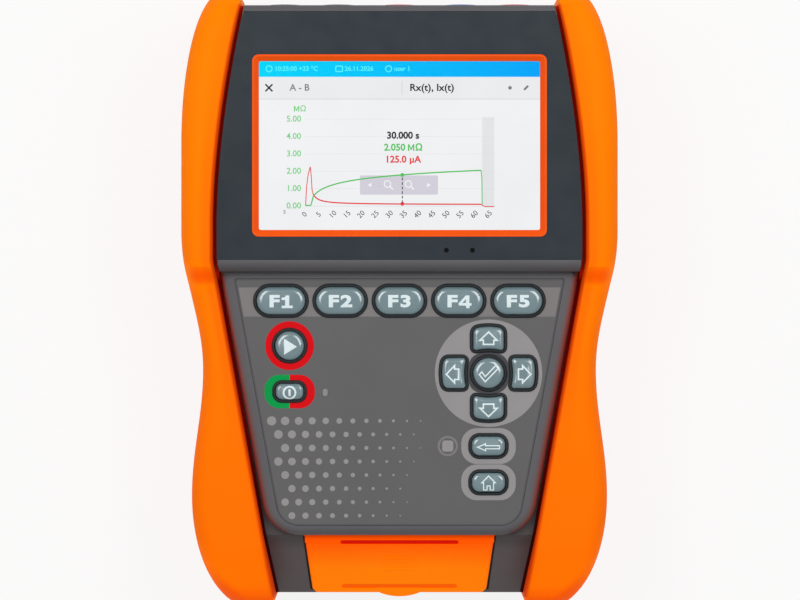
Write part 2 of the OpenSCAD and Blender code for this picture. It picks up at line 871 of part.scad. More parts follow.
function overlay_outline(d) = rounded(
    moved_in(keypad_corners(rim_w, rim_low, head_low_y - overlay_top_gap), d),
    [overlay_r - d, overlay_r - d, nose_r, nose_r], 6);

// Hollow of the keypad block, for the mat and its board
function keypad_hollow(d) = rounded(
    moved_in(keypad_corners(hollow_side, hollow_low, head_low_y - hollow_top), d),
    [hollow_r - d, hollow_r - d, nose_r, nose_r], 6);

module head_block() {
    mid = (keypad_h + screen_h) / 2;
    steps = [for (t = [1, 0.58, 0.29, 0.1, 0]) screen_h - head_round * t];
    loft([for (z = concat([wing_low_h - wall, keypad_h, mid], steps)) head_ring(z)]);
}

module keypad_block() {
    steps = [
        for (a = span(0, 90, 4))
            keypad_ring(keypad_round * (1 - cos(a)), keypad_h - keypad_round * (1 - sin(a)))
    ];
    loft(concat([keypad_ring(0, wing_low_h - wall)], steps));
}

// Keys: name, kind, place along X, place along Y, turn
keys = concat(
    [for (i = [0:4]) [str("key_f", i + 1), "function", (i - 2) * f_pitch, f_y, 0]],
    [
        ["key_start", "start", side_x, start_y, 0],
        ["key_power", "power", side_x, power_y, 0],
        ["key_up", "arrow", pad_x, pad_y, 0],
        ["key_left", "arrow", pad_x, pad_y, 90],
        ["key_down", "arrow", pad_x, pad_y, 180],
        ["key_right", "arrow", pad_x, pad_y, 270],
        ["key_enter", "enter", pad_x, pad_y, 0],
        ["key_back", "menu", pad_x, back_y, 0],
        ["key_home", "menu", pad_x, home_y, 0]
    ]);

function round_outline(r) = [for (i = [0:23]) r * [cos(15 * i), sin(15 * i)]];

// Fall of an arc of radius r at x
function sag(x, r) = r - sqrt(r * r - x * x);

// Arrow key that points along +Y, hollow towards the pad middle
function arrow_outline(g) = let (
    hw = arrow_w / 2 + g,
    yi = arrow_in - g,
    yo = arrow_out + g,
    inner = yi - sag(hw, arrow_bow - g),
    inner_mid = yi - sag(hw / 2, arrow_bow - g),
    outer = yo - sag(hw, arrow_bow + g),
    outer_mid = yo - sag(hw / 2, arrow_bow + g),
    ri = arrow_in_r + g,
    ro = arrow_out_r + g
) rounded(
    [
        [-hw, inner], [-hw / 2, inner_mid], [0, yi], [hw / 2, inner_mid], [hw, inner],
        [hw, outer], [hw / 2, outer_mid], [0, yo], [-hw / 2, outer_mid], [-hw, outer]
    ],
    [ri, 0, 0, 0, ri, ro, 0, 0, 0, ro], 3);

// Outline of a key on the keypad, grown by g
function key_outline(k, g) = shift(
    turn(
        k[1] == "function" ? box_outline(f_key_w + 2 * g, f_key_l + 2 * g, f_key_l / 2 + g - fit, 5) :
        k[1] == "start" ? round_outline(start_d / 2 + g) :
        k[1] == "power" ? box_outline(power_w + 2 * g, power_l + 2 * g, power_r + g, 4) :
        k[1] == "arrow" ? arrow_outline(g) :
        k[1] == "enter" ? round_outline(enter_d / 2 + g) :
        box_outline(menu_w + 2 * g, menu_l + 2 * g, menu_r + g, 4),
        k[4]),
    [k[2], k[3]]);

// Middle of a key
function key_middle(k) = k[1] == "arrow"
    ? [k[2], k[3]] + (arrow_in + arrow_out) / 2 * [-sin(k[4]), cos(k[4])]
    : [k[2], k[3]];

// Opening in the deck round a key
function aperture(k, less) = key_outline(k, key_border - less);

// Outline drawn towards the middle of its key
function towards(points, middle, share) = [for (p = points) middle + (p - middle) * share];

module key_cap(k) {
    top = keypad_h + key_rise;
    middle = key_middle(k);
    base = key_outline(k, 0);
    foot = key_outline(k, flange_lip);
    low = flange_h - flange_t;
    color(key_grey)
        union() {
            loft(concat(
                [lift(foot, low), lift(foot, flange_h), lift(base, flange_h)],
                [for (s = crown_steps) lift(towards(base, middle, s[0]), top + s[1])]
            ));
            rod(middle[0], middle[1], plunger_r, low - plunger_l, low + bite);
        }
}

// Casing

module head_hollow() {
    prism(
        both_sides([
            for (y = span(head_low_y + nose_run, casing_top_y - wall - head_edge, head_n))
                [face_half(y) - crevice - wall, y]
        ]),
        wing_high_h - wall - past, plate_h);
}

module flap_plan(gap, z0, z1) {
    prism(
        [
            [-flap_low_w / 2 - gap, -flap_l - gap],
            [flap_low_w / 2 + gap, -flap_l - gap],
            [flap_top_w / 2 + gap, -hinge_in],
            [-flap_top_w / 2 - gap, -hinge_in]
        ],
        z0, z1);
}

module chin_rod(r, x0, x1) {
    translate([x0, -hinge_in, hinge_z])
        rotate([0, 90, 0])
            cylinder(r = r, h = x1 - x0);
}

function bezel_outline(d) = both_sides(
    [
        for (y = span(bezel_low_y + d, casing_top_y - head_round - d, head_n))
            [face_half(y) - crevice - head_edge - d, y]
    ]);

function led_outline(g) = shift(
    box_outline(led_w + 2 * g, led_l + 2 * g, led_r + g, 4), [led_x, led_y]);

// What lies over the slope under the flap
module over_chin() {
    fall = past * tan(chin_angle);
    top = wing_low_h + fall + past;
    across(
        [
            [keypad_low_y + past, wing_low_h + fall],
            [keypad_low_y + past, top],
            [casing_low_y - past, top],
            [casing_low_y - past, split_h - fall]
        ],
        -shoulder_w / 2, shoulder_w / 2);
}

module front_shell() {
    difference() {
        union() {
            difference() {
                prism(casing_outline(0, 0), split_h, wing_low_h);
                over_chin();
            }
            prism(casing_top_part(0, 0, step_y), wing_low_h - wall, wing_high_h);
            head_block();
            keypad_block();
        }
        // hollows
        prism(
            casing_part(wall, keypad_low_y + hollow_low + past, casing_top_y - wall),
            split_h - past, wing_low_h - wall);
        prism(casing_top_part(wall, wall, step_y + wall), split_h + past, wing_high_h - wall);
        head_hollow();
        prism(keypad_hollow(0), split_h + past, mat_h);
        // seats of the bezel and the overlay
        prism(bezel_outline(-fit), seat_h, screen_h + past);
        prism(overlay_outline(-overlay_fit), deck_h, keypad_h + past);
        // opening for the touch glass
        translate([0, display_y, 0])
            prism(box_outline(glass_w + 2 * fit, glass_l + 2 * fit, 0.1, 1), plate_h - past, seat_h + past);
        for (k = keys)
            prism(aperture(k, 0), mat_h - past, deck_h + past);
        prism(led_outline(led_fit), mat_h - past, deck_h + past);
        // bay behind the flap, and the room for the ports
        block(-bay_w / 2, bay_w / 2, casing_low_y - past, bay_wall_y, bay_floor_h, wing_low_h);
        block(-port_room_w / 2, port_room_w / 2, bay_wall_y + bay_wall_t, keypad_low_y + 2 * hollow_low,
            split_h - past, bay_floor_h + port_room_h);
    }
}

// Post from z0 up into the wall at z1
module post(x, y, r, z0, z1) {
    rod(x, y, r, z0, z1 + bite);
}

// Pilot hole of a small screw, up from z0
module pilot(x, y, z0) {
    rod(x, y, pilot_r, z0 - past, z0 + pilot_l);
}

module socket_notch(z0, z1) {
    block(-panel_w / 2, panel_w / 2, casing_top_y - wall - past, casing_top_y + past, z0, z1);
}

module front_casing() {
    color(mid_grey)
        difference() {
            union() {
                front_shell();
                // posts of the keypad board, of the display bracket, of the ports and of the case screws
                for (p = keypad_posts)
                    post(p[0], p[1], post_r, keypad_board_h, mat_h);
                translate([0, display_y, 0])
                    four_places(bracket_x, bracket_y)
                        post(0, 0, bracket_post_r, module_h, plate_h);
                for (x = port_posts)
                    post(x, port_post_y, post_r, port_board_h, bay_floor_h + port_room_h);
                for (p = case_screw_places)
                    if (p[1] > keypad_low_y)
                        for (s = [-1, 1])
                            post(s * p[0], p[1], case_post_r, split_h,
                                (p[1] > step_y + case_post_r ? wing_high_h : wing_low_h) - wall);
            }
            for (p = keypad_posts)
                pilot(p[0], p[1], keypad_board_h);
            translate([0, display_y, 0])
                four_places(bracket_x, bracket_y)
                    pilot(0, 0, module_h);
            for (x = port_posts)
                pilot(x, port_post_y, port_board_h);
            case_screw_at()
                rod(0, 0, case_pilot_r, split_h - past, split_h + case_pilot_l);
            // recess and hinge of the flap
            on_chin() {
                flap_plan(flap_gap, -flap_sink - flap_gap, wing_low_h - split_h);
                chin_rod(barrel_r + flap_gap, -flap_top_w / 2 - flap_gap, flap_top_w / 2 + flap_gap);
                chin_rod(flap_pin_r + pin_gap,
                    -flap_top_w / 2 - pin_l - pin_end, flap_top_w / 2 + pin_l + pin_end);
            }
            // openings of the ports
            block(-port_x - usb_w / 2 - port_fit, -port_x + usb_w / 2 + port_fit,
                bay_wall_y - past, bay_wall_y + bay_wall_t + past,
                usb_h - usb_t / 2 - port_fit, usb_h + usb_t / 2 + port_fit);
            turned_y(port_x, bay_wall_y - past, usb_h, bar(jack_r + port_fit, 0, bay_wall_t + 2 * past));
            socket_notch(split_h - past, split_h + panel_l / 2);
        }
}

module rear_casing() {
    color(dark_grey)
        difference() {
            union() {
                difference() {
                    union() {
                        prism(casing_outline(0, 0), back_lip_t, split_h);
                        prism(casing_outline(back_lip_w, 0), back_gap, back_lip_t + bite);
                    }
                    prism(casing_outline(wall, wall), floor_h, split_h + past);
                }
                // battery bay, screw bosses and board posts
                translate([0, pack_y, 0]) {
                    prism(box_outline(cover_w + 2 * wall, cover_l + 2 * wall, cover_r + wall, 4),
                        floor_h - bite, floor_h + wall);
                    prism(box_outline(bay_pack_w + 2 * wall, bay_pack_l + 2 * wall, wall, 4),
                        floor_h, bay_pack_h + wall);
                    four_places(cover_screw_x, cover_screw_y)
                        rod(0, 0, cover_boss_r, floor_h + bite, floor_h + cover_boss_l);
                }
                four_places(post_x, post_y)
                    rod(0, 0, board_post_r, floor_h - bite, board_h);
                case_screw_at()
                    rod(0, 0, case_boss_r, floor_h - bite, split_h);
            }
            translate([0, pack_y, 0]) {
                prism(box_outline(cover_w + 2 * cover_fit, cover_l + 2 * cover_fit, cover_r + cover_fit, 4),
                    back_gap - past, floor_h);
                prism(box_outline(bay_pack_w, bay_pack_l, bay_r, 3), back_gap - past, bay_pack_h);
                four_places(cover_screw_x, cover_screw_y)
                    rod(0, 0, case_pilot_r, floor_h - past, floor_h + cover_boss_l - 2);
            }
            four_places(post_x, post_y)
                rod(0, 0, pilot_r, board_h - pilot_l - past, board_h + past);
            case_screw_at() {
                rod(0, 0, case_well_r, back_gap - past, case_screw_seat);
                rod(0, 0, case_hole_r, case_screw_seat - past, split_h + past);
            }
            seal_ring(split_h - seal_t, split_h + past);
            socket_notch(split_h - panel_l / 2, split_h + past);
        }
}

module seal_ring(z0, z1) {
    difference() {
        prism(casing_outline(seal_out, seal_out), z0, z1);
        prism(casing_outline(seal_in, seal_in), z0 - past, z1 + past);
        block(-panel_w / 2 - seal_end, panel_w / 2 + seal_end,
            casing_top_y - 2 * seal_end, casing_top_y + past, z0 - past, z1 + past);
    }
}

module case_seal() {
    color(black)
        seal_ring(split_h - seal_t, split_h);
}

// Display

module display_bezel() {
    color([0.19, 0.22, 0.25])
        difference() {
            prism(bezel_outline(0), seat_h, screen_h);
            translate([0, display_y, 0])
                prism(box_outline(frame_w, frame_l, frame_r, 5), seat_h - past, screen_h + past);
            for (x = sensor_xs)
                rod(x, bezel_low_y + sensor_up, sensor_d / 2, seat_h - past, screen_h + past);
        }
}

// Ring of the sloped inside of the frame
function frame_ring(w, l, r, z) = lift(box_outline(w, l, r, 3), z);

module display_frame() {
    top = screen_h + frame_rise;
    mouth_w = frame_w - 2 * frame_edge;
    mouth_l = frame_l - 2 * frame_edge;
    mouth_r = frame_r - frame_edge;
    color(red_orange)
        translate([0, display_y, 0])
            difference() {
                prism(box_outline(frame_w - 2 * fit, frame_l - 2 * fit, frame_r - fit, 5), seat_h, top);
                loft([
                    frame_ring(window_w, window_l, window_r, seat_h - past),
                    frame_ring(window_w, window_l, window_r, seat_h + 2 * frame_rise),
                    frame_ring(mouth_w, mouth_l, mouth_r, top),
                    frame_ring(mouth_w, mouth_l, mouth_r, top + past)
                ]);
            }
}

module sensor_windows() {
    color(black)
        for (x = sensor_xs)
            rod(x, bezel_low_y + sensor_up, sensor_d / 2 - fit, seat_h, screen_h - 2 * fit);
}

module touch_glass() {
    color([0.75, 0.85, 0.9, 0.5])
        block(-glass_w / 2, glass_w / 2,
            display_y - glass_l / 2, display_y + glass_l / 2, plate_h, seat_h);
}

module display_module() {
    color([0.85, 0.87, 0.88])
        block(-module_w / 2, module_w / 2,
            display_y - module_l / 2, display_y + module_l / 2, module_h, plate_h);
}

module display_bracket() {
    low = module_h - bracket_t;
    color(steel)
        translate([0, display_y, 0])
            difference() {
                prism(box_outline(2 * (bracket_x + bracket_lap), 2 * (bracket_y + bracket_r), bracket_r, 4),
                    low, module_h);
                prism(box_outline(bracket_window_w, bracket_window_l, bracket_window_r, 4),
                    low - past, module_h + past);
                four_places(bracket_x, bracket_y)
                    rod(0, 0, hole_r, low - past, module_h + past);
            }
}

// Keypad

module keypad_overlay() {
    color(mid_grey)
        difference() {
            prism(overlay_outline(0), deck_h, keypad_h);
            for (k = keys)
                prism(aperture(k, 0), deck_h - past, keypad_h + past);
            prism(led_outline(led_fit), deck_h - past, keypad_h + past);
        }
}

module keypad_mat() {
    color(black)
        difference() {
            union() {
                prism(keypad_hollow(mat_fit), flange_h, mat_h);
                difference() {
                    prism(keypad_hollow(mat_fit), keypad_board_h, flange_h + bite);
                    prism(keypad_hollow(mat_fit + mat_skirt), keypad_board_h - past, flange_h + past);
                }
                for (k = keys)
                    prism(aperture(k, mat_lip), mat_h - bite, deck_h - mat_drop);
            }
            for (k = keys)
                prism(key_outline(k, key_gap), flange_h - past, deck_h + past);
            for (p = keypad_posts)
                rod(p[0], p[1], post_r + mat_fit, flange_h - past, mat_h + past);
            prism(led_outline(2 * led_fit), flange_h - past, mat_h + past);
        }
}

module keypad_board() {
    color(board_green)
        difference() {
            prism(keypad_hollow(mat_fit), keypad_board_h - board_t, keypad_board_h);
            for (p = keypad_posts)
                rod(p[0], p[1], hole_r, keypad_board_h - board_t - past, keypad_board_h + past);
        }
}

module contact_pads() {
    color(brass)
        for (k = keys)
            rod(key_middle(k)[0], key_middle(k)[1], contact_pad_r, keypad_board_h, keypad_board_h + pad_t);
}

module power_led() {
    color([0.9, 0.92, 0.88])
        prism(led_outline(0), keypad_board_h, keypad_h + led_fit);
}

// Test sockets

module socket_panel() {
    color(black)
        difference() {
            union() {
                block(-panel_w / 2, panel_w / 2, casing_top_y - wall, panel_y,
                    split_h - panel_l / 2, split_h + panel_l / 2);
                block(-panel_w / 2 - panel_lip, panel_w / 2 + panel_lip,
                    casing_top_y - wall - panel_lip, casing_top_y - wall,
                    split_h - panel_l / 2 - panel_lip, split_h + panel_l / 2 + panel_lip);
            }
            for (x = socket_xs)
                turned_y(x, panel_y, split_h, bar(body_r + body_fit, -body_l, past));
        }
}

// Insulating collar of a test socket
module socket_collar(i, tint) {
    color(tint)
        turned_y(socket_xs[i], panel_y, split_h, [
            [body_hole_r, -body_l],
            [body_r, -body_l],
            [body_r, 0],
            [collar_d / 2, 0],
            [collar_d / 2, collar_rise - collar_round],
            [collar_d / 2 - collar_bevel, collar_rise - collar_bevel],
            [collar_d / 2 - collar_round, collar_rise],
            [collar_bore_r + collar_bevel, collar_rise],
            [collar_bore_r, collar_rise - collar_bevel],
            [collar_bore_r, body_floor - body_l],
            [body_hole_r, body_floor - body_l]
        ]);
}

module socket_contacts() {
    foot = body_floor - body_l;
    color(brass)
        for (x = socket_xs)
            turned_y(x, panel_y, split_h, [
                [0, foot - contact_tail_l],
                [contact_tail_r, foot - contact_tail_l],
                [contact_tail_r, foot],
                [contact_r + contact_foot, foot],
                [contact_r + contact_foot, foot + contact_foot],
                [contact_r, foot + contact_foot],
                [contact_r, -contact_sink],
                [contact_bore / 2, -contact_sink],
                [contact_bore / 2, -contact_sink - contact_depth],
                [0, -contact_sink - contact_depth]
            ]);
}

module socket_nuts() {
    back = panel_in - wall - panel_lip;
    color(steel)
        for (x = socket_xs)
            translate([x, panel_y, split_h])
                rotate([-90, 0, 0])
                    translate([0, 0, back - nut_t])
                        difference() {
                            cylinder(r = nut_r, h = nut_t, $fn = 6);
                            translate([0, 0, -past])
                                cylinder(r = body_r + nut_fit, h = nut_t + 2 * past);
                        }
}

// Flap and ports

// Groove across the flap, from y down the slope
module flap_groove(groove, y) {
    block(-groove[0], groove[0], y - groove[1], y, flap_rise - groove_d, flap_rise + past);
}

module usb_flap() {
    edge = [
        [-flap_low_w / 2, -flap_l],
        [flap_low_w / 2, -flap_l],
        [flap_top_w / 2, past - hinge_in],
        [-flap_top_w / 2, past - hinge_in]
    ];
    steps = [[0, -flap_sink], [0, -flap_edge], [0.25, -0.375 * flap_edge], [1, 0]];
    half = asin(tab_w / 2 / tab_r);
    arc = [for (a = span(-half, half, 10)) tab_r * [sin(a), 1 - cos(a)]];
    color(orange)
        on_chin()
            difference() {
                union() {
                    loft([
                        for (s = steps) let (in = s[0] * flap_edge)
                            lift(
                                rounded(moved_in(edge, in),
                                    [flap_r - in, flap_r - in, flap_top_r, flap_top_r], 4),
                                s[1] == -flap_sink ? -flap_sink : flap_rise + s[1])
                    ]);
                    chin_rod(barrel_r, -flap_top_w / 2, flap_top_w / 2);
                    chin_rod(flap_pin_r, -flap_top_w / 2 - pin_l, flap_top_w / 2 + pin_l);
                    // finger tab
                    prism(
                        concat(
                            shift(arc, [0, -flap_l - tab_l]),
                            [[tab_w / 2, tab_l - flap_l], [-tab_w / 2, tab_l - flap_l]]
                        ),
                        flap_gap, flap_rise + tab_rise);
                }
                flap_groove(hinge_groove, -hinge_in - hinge_groove[1]);
                flap_groove(tab_groove, -flap_l + tab_l);
            }
}

module usb_socket() {
    y = bay_wall_y - bite;
    color(steel)
        union() {
            difference() {
                block(-port_x - usb_w / 2, -port_x + usb_w / 2, y, y + usb_l,
                    usb_h - usb_t / 2, usb_h + usb_t / 2);
                block(-port_x - usb_w / 2 + usb_skin, -port_x + usb_w / 2 - usb_skin, y - past, y + usb_depth,
                    usb_h - usb_t / 2 + usb_skin, usb_h + usb_t / 2 - usb_skin);
            }
            block(-port_x - tongue_w / 2, -port_x + tongue_w / 2, y + past, y + usb_depth + bite,
                usb_h + usb_skin, usb_h + usb_skin + tongue_t);
        }
}

module charger_socket() {
    y = bay_wall_y - port_fit;
    color(black)
        union() {
            difference() {
                union() {
                    turned_y(port_x, y, usb_h, bar(jack_r, 0, port_fit + bay_wall_t + bite / 2));
                    block(port_x - jack_w / 2, port_x + jack_w / 2, bay_wall_y + bay_wall_t, y + usb_l,
                        port_board_h, usb_h + jack_w / 2);
                }
                turned_y(port_x, y, usb_h, bar(jack_bore_r, -past, usb_depth));
            }
            turned_y(port_x, y, usb_h, bar(jack_pin_r, past, usb_depth + bite));
        }
}

module port_board() {
    y = bay_wall_y + bay_wall_t + bite;
    color(board_green)
        difference() {
            block(-port_board_w / 2, port_board_w / 2, y, y + port_board_l,
                port_board_h - board_t, port_board_h);
            for (x = port_posts)
                rod(x, port_post_y, hole_r, port_board_h - board_t - past, port_board_h + past);
        }
}

// Inside

module main_board() {
    color(board_green)
        difference() {
            prism(box_outline(board_w, board_l, board_r, 4), board_h, board_top);
            four_places(post_x, post_y)
                rod(0, 0, hole_r, board_h - past, board_top + past);
        }
}

// Block that stands on the main board over a middle, at a height over its top
module on_board(middle, size, up) {
    block(middle[0] - size[0] / 2, middle[0] + size[0] / 2, middle[1] - size[1] / 2, middle[1] + size[1] / 2,
        board_top + up, board_top + up + size[2]);
}

module board_chips() {
    color(black)
        for (c = chips)
            on_board(c[0], c[1], 0);
}

module hv_transformer() {
    leg_x = core[0] / 2 - core_leg / 2;
    color([0.20, 0.20, 0.22])
        union() {
            on_board(transformer_at, [core[0] + 2, core[1] + 2, core_leg / 2], 0);
            for (s = [-1, 1])
                on_board(transformer_at + [s * leg_x, 0], [core_leg, core[1], core[2] - bite], bite);
            on_board(transformer_at, [core[0], core[1], core_leg / 2], core[2] - core_leg / 2);
        }
}

module hv_winding() {
    low = board_top + core_leg / 2;
    color([0.85, 0.65, 0.20])
        prism(shift(box_outline(core[0] - 2 * core_leg, winding_l, winding_r, 5), transformer_at),
            low, board_top + core[2] - core_leg / 2);
}

module hv_relays() {
    color([0.16, 0.17, 0.20])
        for (i = [0:2])
            on_board(relay_at + [i * relay_pitch, 0], relay, 0);
}

module buzzer() {
    color(black)
        difference() {
            translate(buzzer_at)
                rod(0, 0, buzzer_r, board_top, board_top + buzzer_t);
            translate(buzzer_at)
                rod(0, 0, buzzer_hole_r, board_top + buzzer_t - buzzer_hole_l, board_top + buzzer_t + past);
        }
}

module battery_pack() {
    last = (cells - 1) / 2;
    color([0.10, 0.22, 0.45])
        translate([0, pack_y + pack_l / 2, floor_h])
            rotate([90, 0, 0])
                linear_extrude(height = pack_l)
                    union() {
                        for (i = [-last:1:last])
                            translate([i * cell_d, cell_d / 2])
                                circle(r = cell_d / 2);
                        translate([-last * cell_d, 0])
                            square([2 * last * cell_d, cell_d]);
                    }
}

module battery_cover() {
    color(dark_grey)
        translate([0, pack_y, 0])
            difference() {
                prism(box_outline(cover_w, cover_l, cover_r, 4), back_gap, floor_h);
                four_places(cover_screw_x, cover_screw_y) {
                    rod(0, 0, case_hole_r, back_gap - past, floor_h + past);
                    rod(0, 0, cover_head_r + cover_fit, back_gap - past, back_gap + cover_head_t);
                }
            }
}

module cover_screws() {
    seat = back_gap + cover_head_t;
    color(steel)
        translate([0, pack_y, 0])
            four_places(cover_screw_x, cover_screw_y)
                union() {
                    rod(0, 0, cover_head_r, back_gap + fit, seat);
                    rod(0, 0, case_shank_r, seat - bite, floor_h + cover_boss_l - 3);
                }
}

module case_screws() {
    color(steel)
        case_screw_at()
            difference() {
                union() {
                    rod(0, 0, case_head_r, case_screw_seat - case_head_t, case_screw_seat);
                    rod(0, 0, case_shank_r, case_screw_seat - bite, split_h + case_pilot_l - 1);
                }
                rod(0, 0, case_drive_r, case_screw_seat - case_head_t - past,
                    case_screw_seat - case_head_t + case_drive_l);
            }
}

// Small screw with its head under z, driven upwards
module small_screw(z) {
    rod(0, 0, small_head_r, z - small_head_t, z);
    rod(0, 0, shank_r, z - bite, z + small_screw_l);
}

module board_screws() {
    color(steel) {
        for (p = keypad_posts)
            translate([p[0], p[1], 0])
                union() small_screw(keypad_board_h - board_t);
        translate([0, display_y, 0])
            four_places(bracket_x, bracket_y)
                union() small_screw(module_h - bracket_t);
        for (x = port_posts)
            translate([x, port_post_y, 0])
                union() small_screw(port_board_h - board_t);
        four_places(post_x, post_y)
            translate([0, 0, board_top])
                mirror([0, 0, 1])
                    union() small_screw(0);
    }
}

rear_casing();
front_casing();
case_seal();
left_bumper();
right_bumper();
display_bezel();
display_frame();
sensor_windows();
touch_glass();
display_module();
display_bracket();
keypad_overlay();
keypad_mat();
keypad_board();
contact_pads();
power_led();
socket_panel();
socket_collar(0, black);  // socket_1
socket_collar(1, black);  // socket_2
socket_collar(2, [0.80, 0.05, 0.08]);  // socket_3
socket_collar(3, [0.05, 0.25, 0.70]);  // socket_4
socket_collar(4, [0.80, 0.05, 0.08]);  // socket_5
socket_contacts();
socket_nuts();
usb_flap();
usb_socket();
charger_socket();
port_board();
main_board();
board_chips();
hv_transformer();
hv_winding();
hv_relays();
buzzer();
battery_pack();
battery_cover();
cover_screws();
case_screws();
board_screws();
for (k = keys)
    key_cap(k);
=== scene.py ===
"""Looks of a hand-held insulation tester: moulded grey casing, orange bumpers, lit screen and keypad."""
import json
import math

import bmesh
import bpy
from mathutils import Matrix, Vector
from mathutils.bvhtree import BVHTree
from mathutils.geometry import tessellate_polygon

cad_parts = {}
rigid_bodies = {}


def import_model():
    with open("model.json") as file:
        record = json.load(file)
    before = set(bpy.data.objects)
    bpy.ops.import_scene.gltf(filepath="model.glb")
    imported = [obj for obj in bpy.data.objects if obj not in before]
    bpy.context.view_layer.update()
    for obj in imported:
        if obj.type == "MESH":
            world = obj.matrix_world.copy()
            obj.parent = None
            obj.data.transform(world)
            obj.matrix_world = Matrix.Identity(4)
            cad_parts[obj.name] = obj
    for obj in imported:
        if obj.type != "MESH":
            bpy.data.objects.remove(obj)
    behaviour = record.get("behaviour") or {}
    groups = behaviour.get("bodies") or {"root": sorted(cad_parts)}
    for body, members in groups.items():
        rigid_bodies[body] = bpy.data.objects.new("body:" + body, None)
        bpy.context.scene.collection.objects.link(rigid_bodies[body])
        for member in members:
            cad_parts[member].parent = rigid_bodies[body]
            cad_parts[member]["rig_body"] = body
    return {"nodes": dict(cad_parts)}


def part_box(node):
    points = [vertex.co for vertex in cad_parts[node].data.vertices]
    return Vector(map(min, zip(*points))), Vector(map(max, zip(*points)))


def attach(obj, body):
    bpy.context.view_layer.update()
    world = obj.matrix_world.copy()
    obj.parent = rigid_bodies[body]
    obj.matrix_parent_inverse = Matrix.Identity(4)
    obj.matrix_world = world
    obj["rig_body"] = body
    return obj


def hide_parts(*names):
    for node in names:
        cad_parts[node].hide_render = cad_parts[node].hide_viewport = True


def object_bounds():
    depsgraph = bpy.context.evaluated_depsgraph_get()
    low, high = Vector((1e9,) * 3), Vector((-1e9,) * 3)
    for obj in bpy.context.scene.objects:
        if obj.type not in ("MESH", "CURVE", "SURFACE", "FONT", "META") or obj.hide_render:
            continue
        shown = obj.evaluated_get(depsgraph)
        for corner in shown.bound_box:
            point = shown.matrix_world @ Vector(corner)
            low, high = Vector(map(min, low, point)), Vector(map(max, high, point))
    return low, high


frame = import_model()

cad_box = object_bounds()
nodes = frame["nodes"]
scene = bpy.context.scene
MM = 0.001
SLIVER = 1e-9
WELD = 2e-6


def corners(node):
    """Lowest and highest corner of a solid, in millimetres."""
    low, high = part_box(node)
    return low / MM, high / MM


def middle(node):
    low, high = corners(node)
    return (low + high) / 2


# Places in millimetres, read from the solids
TIP_Y = cad_box[1].y / MM
LOW_Y = corners("front_casing")[0].y
TOP_Y = corners("front_casing")[1].y
SPLIT_H = corners("rear_casing")[1].z
KEYPAD_H = corners("keypad_overlay")[1].z
SCREEN_H = corners("display_bezel")[1].z
SEAT_H = corners("display_bezel")[0].z
PLATE_H = corners("touch_glass")[0].z
BEZEL_LOW_Y = corners("display_bezel")[0].y
BEZEL_TOP_Y = corners("display_bezel")[1].y
DISPLAY_Y = middle("touch_glass").y
F_Y = middle("key_f3").y
SIDE_X = middle("key_start").x
POWER_Y = middle("key_power").y
PAD_X = middle("key_enter").x
PAD_Y = middle("key_enter").y
BACK_Y = middle("key_back").y
HOME_UP = 20.5
F_DOWN = 9.8
KEYPAD_LOW_Y = middle("key_home").y - HOME_UP
HEAD_LOW_Y = F_Y + F_DOWN

# Outline of the bumpers and of the opening between them, as in the part's source
SHOULDER_Y = TIP_Y - 59.5
SHOULDER_LOW_Y = SHOULDER_Y - 34.5
WAIST_Y = SHOULDER_LOW_Y - 53.2
HIP_Y = WAIST_Y - 48.6
TOP_TIP_IN = 18.5
LOW_TIP_IN = 26.5
TIP_T = 3.0
HORN_TOP = TIP_Y - TOP_Y
HORN_LOW = TIP_Y + LOW_Y
FACE_Y = HEAD_LOW_Y + 20.3
TAPER_Y = HEAD_LOW_Y + 5.8
FACE_HALF = 71.6
FACE_TOP_HALF = 61.0
FACE_LOW_HALF = 48.4
SHOULDER_HALF = cad_box[1].x / MM
CREVICE = 1.4
BUMPER_RISE = 3.5
BUMPER_ROLL = 9.0
BUMPER_WALL = 4.0
BACK_LIP_T = 3.0
BACK_LIP_W = 8.0
KEEL_R = 5.0
CROWN_RX = 7.5
CROWN_RZ = 9.0
CROWN_EDGE_R = 1.8
CROWN_EDGE_DROP = 0.5
SEAM_W = 1.2
SEAM_T = 0.5
SEAM_CLIMB = 6.0
WING_LOW_H = KEYPAD_H + BUMPER_RISE - BUMPER_ROLL
WING_HIGH_H = SCREEN_H + BUMPER_RISE - BUMPER_ROLL
STEP_Y = HEAD_LOW_Y + 3.3
RAMP_LOW_Y = STEP_Y - 9.5
RAMP_TOP_Y = STEP_Y + 2.5
TOP_FALL_Y = TOP_Y - 13
TOP_FALL = 16.0
LOW_FALL_Y = LOW_Y + 20
LOW_FALL = 20.0
KEEL_RISE = 9.0
CHIN_ANGLE = math.atan2(WING_LOW_H - SPLIT_H, KEYPAD_LOW_Y - LOW_Y)

# Keypad
RIM_W = 5.3
RIM_LOW = 3.9
OVERLAY_TOP_GAP = 1.3
KEY_BORDER = 1.35
KEY_TOP = KEYPAD_H + 1.7
FLANGE_H = 61.5

# Screen
SCREEN_W = 108.0
SCREEN_L = 64.8
FRAME_BAND = 2.6


# Shapes in the plane

def rounded(points, radii, steps):
    """A polygon with an arc of the given radius at each corner."""
    out = []
    for i, (point, r) in enumerate(zip(points, radii)):
        p = Vector(point)
        if r <= 0:
            out.append((p.x, p.y))
            continue
        a = (Vector(points[i - 1]) - p).normalized()
        b = (Vector(points[(i + 1) % len(points)]) - p).normalized()
        half = a.angle(b) / 2
        centre = p + (a + b).normalized() * (r / math.sin(half))
        begin = p + a * (r / math.tan(half)) - centre
        end = p + b * (r / math.tan(half)) - centre
        first = math.atan2(begin.y, begin.x)
        sweep = (math.atan2(end.y, end.x) - first + math.pi) % (2 * math.pi) - math.pi
        for k in range(steps + 1):
            angle = first + sweep * k / steps
            out.append((centre.x + r * math.cos(angle), centre.y + r * math.sin(angle)))
    return out


